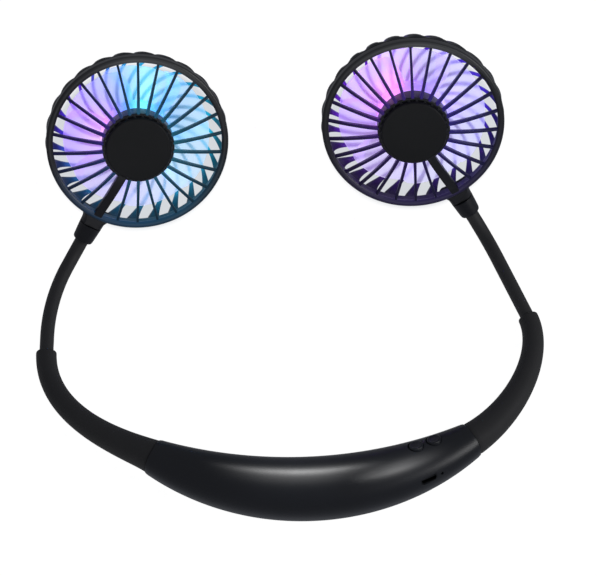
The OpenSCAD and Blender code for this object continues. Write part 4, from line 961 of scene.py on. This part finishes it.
def make_wire_arm(place, name):
    """The wide rib that carries the wire: over the rim and down the boss, with softened edges."""
    route = [(r, dome_z(r) + ARM_TOP) for r in
             [HUB_R - 1 + (OPENING_R + 1 - HUB_R) * i / 16 for i in range(17)]]
    route += [(OPENING_R + 1.6, RIM_RIB_Z + ARM_TOP - 0.15), (RIM_R, -1.2), (BOSS_END - 1.2, -2.0),
              (BOSS_END, -2.6)]
    half, chamfer = ARM_W / 2, 0.5
    rows = []
    for r, z in route:
        low = min(z - ARM_H, -RIM_H + 0.2) if r > OPENING_R else z - ARM_H
        section = filleted([(-half, z - 0.05), (-half + chamfer, z), (half - chamfer, z), (half, z - 0.05),
                            (half, low), (-half, low)], 0.35, 3)
        rows.append([(x, -r, h) for x, h in section])
    return finish_mesh(swept(f"{name} wire arm", rows), satin_abs, place)


def make_boss(place, name):
    """Boss and saddle that the head turns on, with its hollow stem."""
    steps, slim, flare = 72, COLLAR_D / 2, COLLAR_D / 2 + BOSS_FLARE
    column = (
        (RIM_R - 2, flare + 1.2), (RIM_R - 0.8, flare + 0.5), (RIM_R + 0.2, flare - 0.3),
        (RIM_R + 1.1, slim + 0.6), (RIM_R + 2, slim + 0.15),
        (BOSS_END - 0.5, slim), (BOSS_END - 0.06, slim - 0.03), (BOSS_END, slim - 0.12),
        (BOSS_END, STEM_D / 2), (BOSS_END + STEM_LEN, STEM_D / 2),
        (BOSS_END + STEM_LEN, STEM_BORE_R), (RIM_R - 1, STEM_BORE_R))

    def on_boss(a, y, r):
        x, z = r * cos(a), r * sin(a)
        if r > STEM_D / 2:
            # The flare follows the rim sideways, and stays under the rim's front and inside the far band
            z = max(-5.0, min(z, -COLLAR_Z - 1.0))
            sag = RIM_R - (RIM_R ** 2 - min(x * x, RIM_R ** 2)) ** 0.5
            y = y - sag * max(0, 1 - (y - RIM_R + 2) / 4)
        return x, -y, COLLAR_Z + z

    rows = [[on_boss(2 * pi * i / steps, y, r) for y, r in column] for i in range(steps)]
    return finish_mesh(swept(f"{name} stem boss", rows, True), satin_abs, place)


def make_grille(name, place, glow):
    """Near side of a head: rim, thin ribs, hub cup with wire arm and boss, cap and the teeth around it."""
    body = name + "_head"
    # The rim's lit skin is painted: a glow in the lamps' colours, and a painted grey highlight along part
    # of its turn
    rim_abs = moulded(f"{name} lit satin black ABS", "#101115", "#17181c", 0.36, 0.05, 0.3, 0.3, 0.4)
    paint_caught_light(rim_abs, place, glow["rim"], [(0, 0), (38, 0.3), (39.8, 0.24), (41.2, 0.12), (41.7, 0.03)])
    # The ribs' navy tint and their glow are painted lamp light, strongest near the hub
    rib_abs = moulded(f"{name} lit satin black ABS ribs", "#080b18", "#0e1222", 0.4, 0.05, 0.3, 0.2, 0.3)
    paint_caught_light(rib_abs, place, glow["spill"], [(0, 0.0), (16, 0.2), (24, 0.1), (39, 0.04)])
    step = 2 * pi / RIB_COUNT

    under = -SPIGOT_LIP + SLIDE_GAP
    skirt = RIM_R - SKIRT_WALL
    rim = lathe(f"{name} rim", filleted([
        (OPENING_R, -0.7), (RIM_R - RIM_CREST, 0), (RIM_R, -0.5), (RIM_R, -RIM_H), (skirt, -RIM_H),
        (skirt, under), (OPENING_R + 0.4, under), (OPENING_R, under - 0.4)
    ], [0.3, 1.6, 1.2, 0.25, 0.1, 0.1, 0.1, 0.1], 6), 200)
    finish_mesh(rim, rim_abs, place)
    rib = rib_bar(f"{name} thin ribs", RIB_W, top=0, deep=RIB_H, start=HUB_R - 0.8, end=RIM_R - 1.3,
                  steps=14, edge=0.28)
    ribs = repeated(rib, rib_abs, place, RIB_COUNT - 1, -pi / 2 + step, step)
    tooth = rib_bar(f"{name} snap teeth", 0.9, top=0.7, deep=1.4, start=CAP_R - 0.3, end=CAP_R + 0.45,
                    steps=2, edge=0.15)
    teeth = repeated(tooth, painted_highlight_teeth_abs, place, RIB_COUNT, 0, step)
    for piece in (ribs, teeth, rim):
        carried(piece, body)

    floor = HUB_BACK_Z + HUB_FLOOR
    cup = lathe(f"{name} hub cup", filleted([
        (0, HUB_BACK_Z), (HUB_R, HUB_BACK_Z), (HUB_R, HUB_Z), (HUB_R - HUB_WALL, HUB_Z),
        (HUB_R - HUB_WALL, floor), (0, floor)], [0, 0.4, 0.5, 0.2, 0.2, 0], 4), 128)
    finish_mesh(cup, satin_abs, place)
    grille = joined(f"{name} front grille skin", [cup, make_wire_arm(place, name), make_boss(place, name)])
    carried(grille, body, name + "_front_grille")

    top, inside, skirt_r = HUB_Z + CAP_H, CAP_R - CAP_ROOM, HUB_R - HUB_WALL - FIT_GAP
    cap = lathe(f"{name} hub cap skin", filleted([
        (0, top - CAP_TOP_T), (inside, top - CAP_TOP_T), (inside, HUB_Z - CAP_SKIRT),
        (skirt_r, HUB_Z - CAP_SKIRT), (skirt_r, HUB_Z + 0.02), (CAP_R, HUB_Z + 0.02), (CAP_R, top), (0, top)
    ], [0, 0, 0.1, 0.1, 0.05, 0.2, CAP_BEVEL, 0], 6), 160)
    carried(finish_mesh(cap, hub_abs, place), body, name + "_hub_cap")
    return cap


def bowl_z(r):
    """Heights of the far cover's outer and inner surface at a radius."""
    knee = RIM_R - SHOULDER
    inner_shoulder = SHOULDER - BOWL_WALL
    if r <= knee:
        return -HEAD_H, -HEAD_H + BOWL_WALL
    across = r - knee
    outer = BAND_LOW - max(0, SHOULDER ** 2 - across ** 2) ** 0.5
    if across >= inner_shoulder:
        return outer, BAND_LOW + 0.5
    return outer, BAND_LOW - (inner_shoulder ** 2 - across ** 2) ** 0.5


def swirl_bar(name):
    """One swirl rib: an arc through the axis, laid over the bowl, with a wide root at the band."""
    steps, edge = 44, 0.25
    rows = []
    first, last = SWIRL_DISC_R - 1, RIM_R - 0.08
    for i in range(steps + 1):
        r = first + (last - first) * (1 - (1 - i / steps) ** 1.6)
        lean = asin(r / (2 * SWIRL_BEND_R))
        near_band = min(1, max(0, (r - SWIRL_ROOT_R) / (SPIGOT_R - SWIRL_ROOT_R)))
        w = SWIRL_W / cos(lean) + SWIRL_ROOT * near_band ** 3
        outer, inner = bowl_z(r)
        row = []
        section = filleted([(-w / 2, 1), (w / 2, 1), (w / 2, 0), (w / 4, 0), (0, 0), (-w / 4, 0),
                            (-w / 2, 0)], [edge, edge, edge, 0, 0, 0, edge], 3)
        for across, share in section:
            a = pi / 2 - lean - across / r
            # Towards the band the outer face is drawn in, most at its edges, to end inside the lobes
            drawn_in = near_band ** 2 * (0.65 + 0.8 * (2 * across / w) ** 2) * (1 - share)
            row.append((r * cos(a), r * sin(a), outer + (inner - outer) * share + drawn_in))
        rows.append(row)
    return swept(name, rows)


def scalloped(a, r, z):
    """Radius of the far cover's band: round at its near edge, shallow lobes at its far edge."""
    if r <= SPIGOT_R:
        return r
    step = 2 * pi / SWIRL_COUNT
    off = (a - LOBE_TURN + step / 2) % step - step / 2
    centre = RIM_R + SCALLOP_OUT - LOBE_R
    across = LOBE_R ** 2 - (centre * sin(off)) ** 2
    lobe = centre * cos(off) + across ** 0.5 if across > 0 else 0
    depth = min(1, max(0, (BAND_TOP - 0.3 - z) / (BAND_H - 0.9)))
    return r + (max(lobe, RIM_R - 0.9) - RIM_R) * depth


def make_swirl_cover(name, place, glow):
    """Far side of a head: a scalloped band, the swirl ribs over the bowl and the disc that they run to."""
    # The far cover's glow is painted lamp light, strongest 31 to 35 mm from the axis
    cover_abs = moulded(f"{name} lit moulded black ABS", "#0c0d12", "#14161d", 0.36, 0.05, 0.4, 0.2, 0.34)
    paint_caught_light(cover_abs, place, glow["spill"], [(0, 0), (24, 0.05), (31, 0.8), (34.5, 0.95), (37.2, 0.26),
                                                  (39.6, 0.1), (40.9, 0.0)])
    inside = SPIGOT_R - SPIGOT_WALL
    outline = filleted([
        (inside, -SPIGOT_LIP), (inside, BAND_LOW), (RIM_R, BAND_LOW), (RIM_R, BAND_LOW + 0.8),
        (RIM_R, BAND_TOP), (SPIGOT_R, BAND_TOP), (SPIGOT_R, -SPIGOT_LIP)],
        [0.3, 0.4, 0.5, 0.3, 0.15, 0.1, 0.3], 4)
    steps = SWIRL_COUNT * 12
    rows = [[(scalloped(a, r, z) * cos(a), scalloped(a, r, z) * sin(a), z) for r, z in outline]
            for a in [2 * pi * i / steps for i in range(steps)]]
    band = finish_mesh(swept(f"{name} far band", rows, True), cover_abs, place)
    bar = swirl_bar(f"{name} swirl ribs")
    ribs = repeated(bar, cover_abs, place, SWIRL_COUNT, -pi / 2, 2 * pi / SWIRL_COUNT)
    front = -HEAD_H + BOWL_WALL
    disc = lathe(f"{name} far disc", filleted([(0, -HEAD_H), (SWIRL_DISC_R, -HEAD_H), (SWIRL_DISC_R, front),
                                               (0, front)], [0, 0.5, 0.5, 0], 5), 96)
    finish_mesh(disc, cover_abs, place)
    cover = joined(f"{name} swirl cover skin", [band, ribs, disc])
    carried(cover, name + "_cover", name + "_swirl_cover")


def blade(name):
    """One wide scoop-shaped blade, from the hub to a rounded tip, thinner towards its edges."""
    across, along = 14, 22
    root, length = HUB_R - 0.5, IMPELLER_R - HUB_R

    def on_blade(s, q, half):
        """A point at a share s of the way out and a share q around, on one face of the blade."""
        a = radians(BLADE_REACH + BLADE_SPREAD * s) * (q - 0.5) + radians(BLADE_SWEEP) * s * s
        corner = 0.07 * (abs(2 * q - 1) ** 8) * s ** 3
        r = root + (length + 0.5) * s - length * corner
        drop = BLADE_DROP * (0.5 - q) + BLADE_SCOOP * sin(pi * q) * (0.5 + s / 2)
        thin = half * (1 - 0.75 * abs(2 * q - 1) ** 4) * (1 - 0.35 * s)
        return r * cos(a), r * sin(a), IMPELLER_BACK_Z + BLADE_LIFT + drop + thin

    faces = [[[on_blade(i / across, k / along, half) for k in range(along + 1)] for i in range(across + 1)]
             for half in (BLADE_T / 2, -BLADE_T / 2)]
    return walled(name, *faces)


def make_impeller(name, place, material):
    """One frosted moulding: the blades around a cup-shaped hub with a stud for the shaft."""
    blades = repeated(blade(f"{name} blades"), material, place, BLADE_COUNT, 0, 2 * pi / BLADE_COUNT)
    back, front, inner = IMPELLER_BACK_Z, IMPELLER_FRONT_Z, HUB_R - IMPELLER_WALL
    floor = back + IMPELLER_WALL
    hub = lathe(f"{name} impeller hub", filleted([
        (SHAFT_HOLE_R, back), (HUB_R, back), (HUB_R, front), (inner, front), (inner, floor),
        (STUD_R, floor), (STUD_R, back + STUD_H), (SHAFT_HOLE_R, back + STUD_H)
    ], [0, 1.2, 0.4, 0.4, 0.6, 0.3, 0.3, 0], 5), 120)
    finish_mesh(hub, material, place)
    whole = joined(f"{name} impeller skin", [blades, hub])
    carried(whole, name + "_impeller", name + "_impeller")


def head_lamps(name, place, lamps, carrier):
    """Small coloured lamps beside the hub, which light ribs, hub and impeller and turn with the head."""
    for number, (angle, code, energy) in enumerate(lamps):
        lamp = bpy.data.lights.new(f"{name} lamp {number + 1}", "POINT")
        lamp.energy, lamp.color, lamp.shadow_soft_size = energy, linear(code)[:3], LAMP_SIZE * MM
        made = new_object(lamp.name, lamp)
        a = radians(angle)
        made.parent = carrier
        made.location = place @ (Vector((LAMP_R * cos(a), LAMP_R * sin(a), LAMP_Z)) * MM)
        made.visible_camera = made.visible_glossy = False


# Colours of the painted light around each head, by angle in the head's own frame (the impeller's glow, the
# spill on ribs and far cover, and on the rim lamp light with a grey highlight), and its lamps with their
# watts
GLOW = {
    "left": dict(
        bright=0.24,
        near_hub=[(-180, "#e08cff"), (-152, "#ffc4ff"), (-125, "#b878ff"), (-90, "#b39cf0"),
                  (-55, "#b7b7f4"), (-10, "#8ccdec"), (40, "#66c0f2"), (85, "#38a0ff"), (112, "#6cf6ff"),
                  (130, "#40a8ff"), (152, "#8c80ff"), (180, "#e08cff")],
        near_rim=[(-180, "#b88cff"), (-150, "#a874f8"), (-115, "#bda6ee"), (-90, "#c0b4ec"),
                  (-55, "#c2c4ee"), (-10, "#aed0e6"), (40, "#9cceec"), (85, "#80c6fa"), (112, "#70e6ff"),
                  (130, "#74b4ff"), (152, "#9c98ff"), (180, "#b88cff")],
        spill=[(-180, "#4a1cc8"), (-150, "#3324c0"), (-125, "#1a5aa8"), (-70, "#1488b8"), (-15, "#10a0d0"),
               (30, "#19b4dc"), (80, "#1a90c0"), (120, "#2aa8e0"), (140, "#2a78c8"), (160, "#4a28cc"),
               (175, "#5014c4"), (180, "#4a1cc8")],
        rim=[(-180, "#000000"), (-140, "#05040a"), (-105, "#1a4a78"), (-70, "#18669a"), (-30, "#166890"),
             (0, "#0e4058"), (25, "#04090e"), (60, "#1c1d1f"), (95, "#66686a"), (122, "#76787a"),
             (150, "#3c3d40"), (175, "#060607"), (180, "#000000")],
        lamps=[(-155, "#b070ff", 0.0072), (112, "#40c8ff", 0.0096), (-20, "#30a8e8", 0.0072)]),
    "right": dict(
        bright=0.24,
        near_hub=[(-180, "#c8a0f4"), (-150, "#c4acf0"), (-110, "#c2b4f0"), (-60, "#b4a8f4"),
                  (-20, "#b4a8f6"), (15, "#b8a4f4"), (45, "#9c7cf0"), (72, "#c088fa"), (95, "#ff98ff"),
                  (115, "#f890ff"), (145, "#c07cf4"), (180, "#c8a0f4")],
        near_rim=[(-180, "#c9acf2"), (-150, "#cbb6ee"), (-110, "#c8c0ec"), (-60, "#c2bef0"),
                  (-20, "#bcb6f2"), (15, "#c2b8f2"), (45, "#b8a8f2"), (72, "#bc9ef6"), (95, "#cc9cff"),
                  (115, "#c898ff"), (145, "#c298f8"), (180, "#c9acf2")],
        spill=[(-180, "#4a1098"), (-140, "#3c0c7c"), (-100, "#3a1090"), (-60, "#3a18b0"), (-20, "#3c20c8"),
               (30, "#4020c8"), (70, "#5a20d0"), (110, "#5c18c0"), (150, "#5010a8"), (180, "#4a1098")],
        rim=[(-180, "#20123c"), (-150, "#38246a"), (-120, "#3c2a76"), (-85, "#34246c"), (-55, "#1c1240"),
             (-25, "#08060e"), (8, "#0a0a0b"), (30, "#5c5e60"), (56, "#76787a"), (85, "#5c5e60"),
             (118, "#1c1d1f"), (140, "#000000"), (160, "#0c0818"), (180, "#20123c")],
        lamps=[(95, "#ff70ff", 0.0072), (150, "#b070ff", 0.0072), (0, "#a080ff", 0.0084)]),
}


def make_head(name):
    """One head: grille, far cover, impeller and lamps."""
    place, glow = head_place(name), GLOW[name]
    cap = make_grille(name, place, glow)
    make_swirl_cover(name, place, glow)
    make_impeller(name, place, frosted_polycarbonate(f"{name} frosted polycarbonate", place, glow))
    head_lamps(name, place, glow["lamps"], cap)


def dress_inner_nodes():
    """Finishes of the nodes whose solids are shown as they are."""
    finishes = {
        "circuit_board": laminate_green, "tact_switches": chip_epoxy, "board_chips": chip_epoxy,
        "battery_cell": cell_wrap, "battery_tabs": nickel_plate, "battery_leads": lead_jacket,
        "pod_screws": steel_bright, "board_screws": steel_bright,
    }
    for side_name, code in (("left", "#e6d8ff"), ("right", "#f0d0ff")):
        own = {
            "core_root": steel_drawn, "lead_root": lead_jacket, "stem_clip": nickel_plate,
            "motor_can": steel_bright, "motor_bush": bronze_bush, "motor_shaft": steel_bright,
            "led_board": laminate_white, "head_lead": lead_jacket,
            "leds": lamp_lens(f"{side_name} lit diode lens", code),
        }
        finishes.update({f"{side_name}_{node}": material for node, material in own.items()})
    for node_name, material in finishes.items():
        mesh = frame["nodes"][node_name].data
        mesh.materials.clear()
        mesh.materials.append(material)


make_camera()
make_floor()
front_fill = light_scene()
make_pod()
make_button("fan button key", "fan_button", -BUTTON_PITCH / 2)
make_button("light button key", "light_button", BUTTON_PITCH / 2)
for side_name, side in SIDES.items():
    make_sleeve(side_name, side)
    make_neck(side_name, side)
    make_collar(side_name, side)
    make_head(side_name)
dress_inner_nodes()
light_only_heads(front_fill)
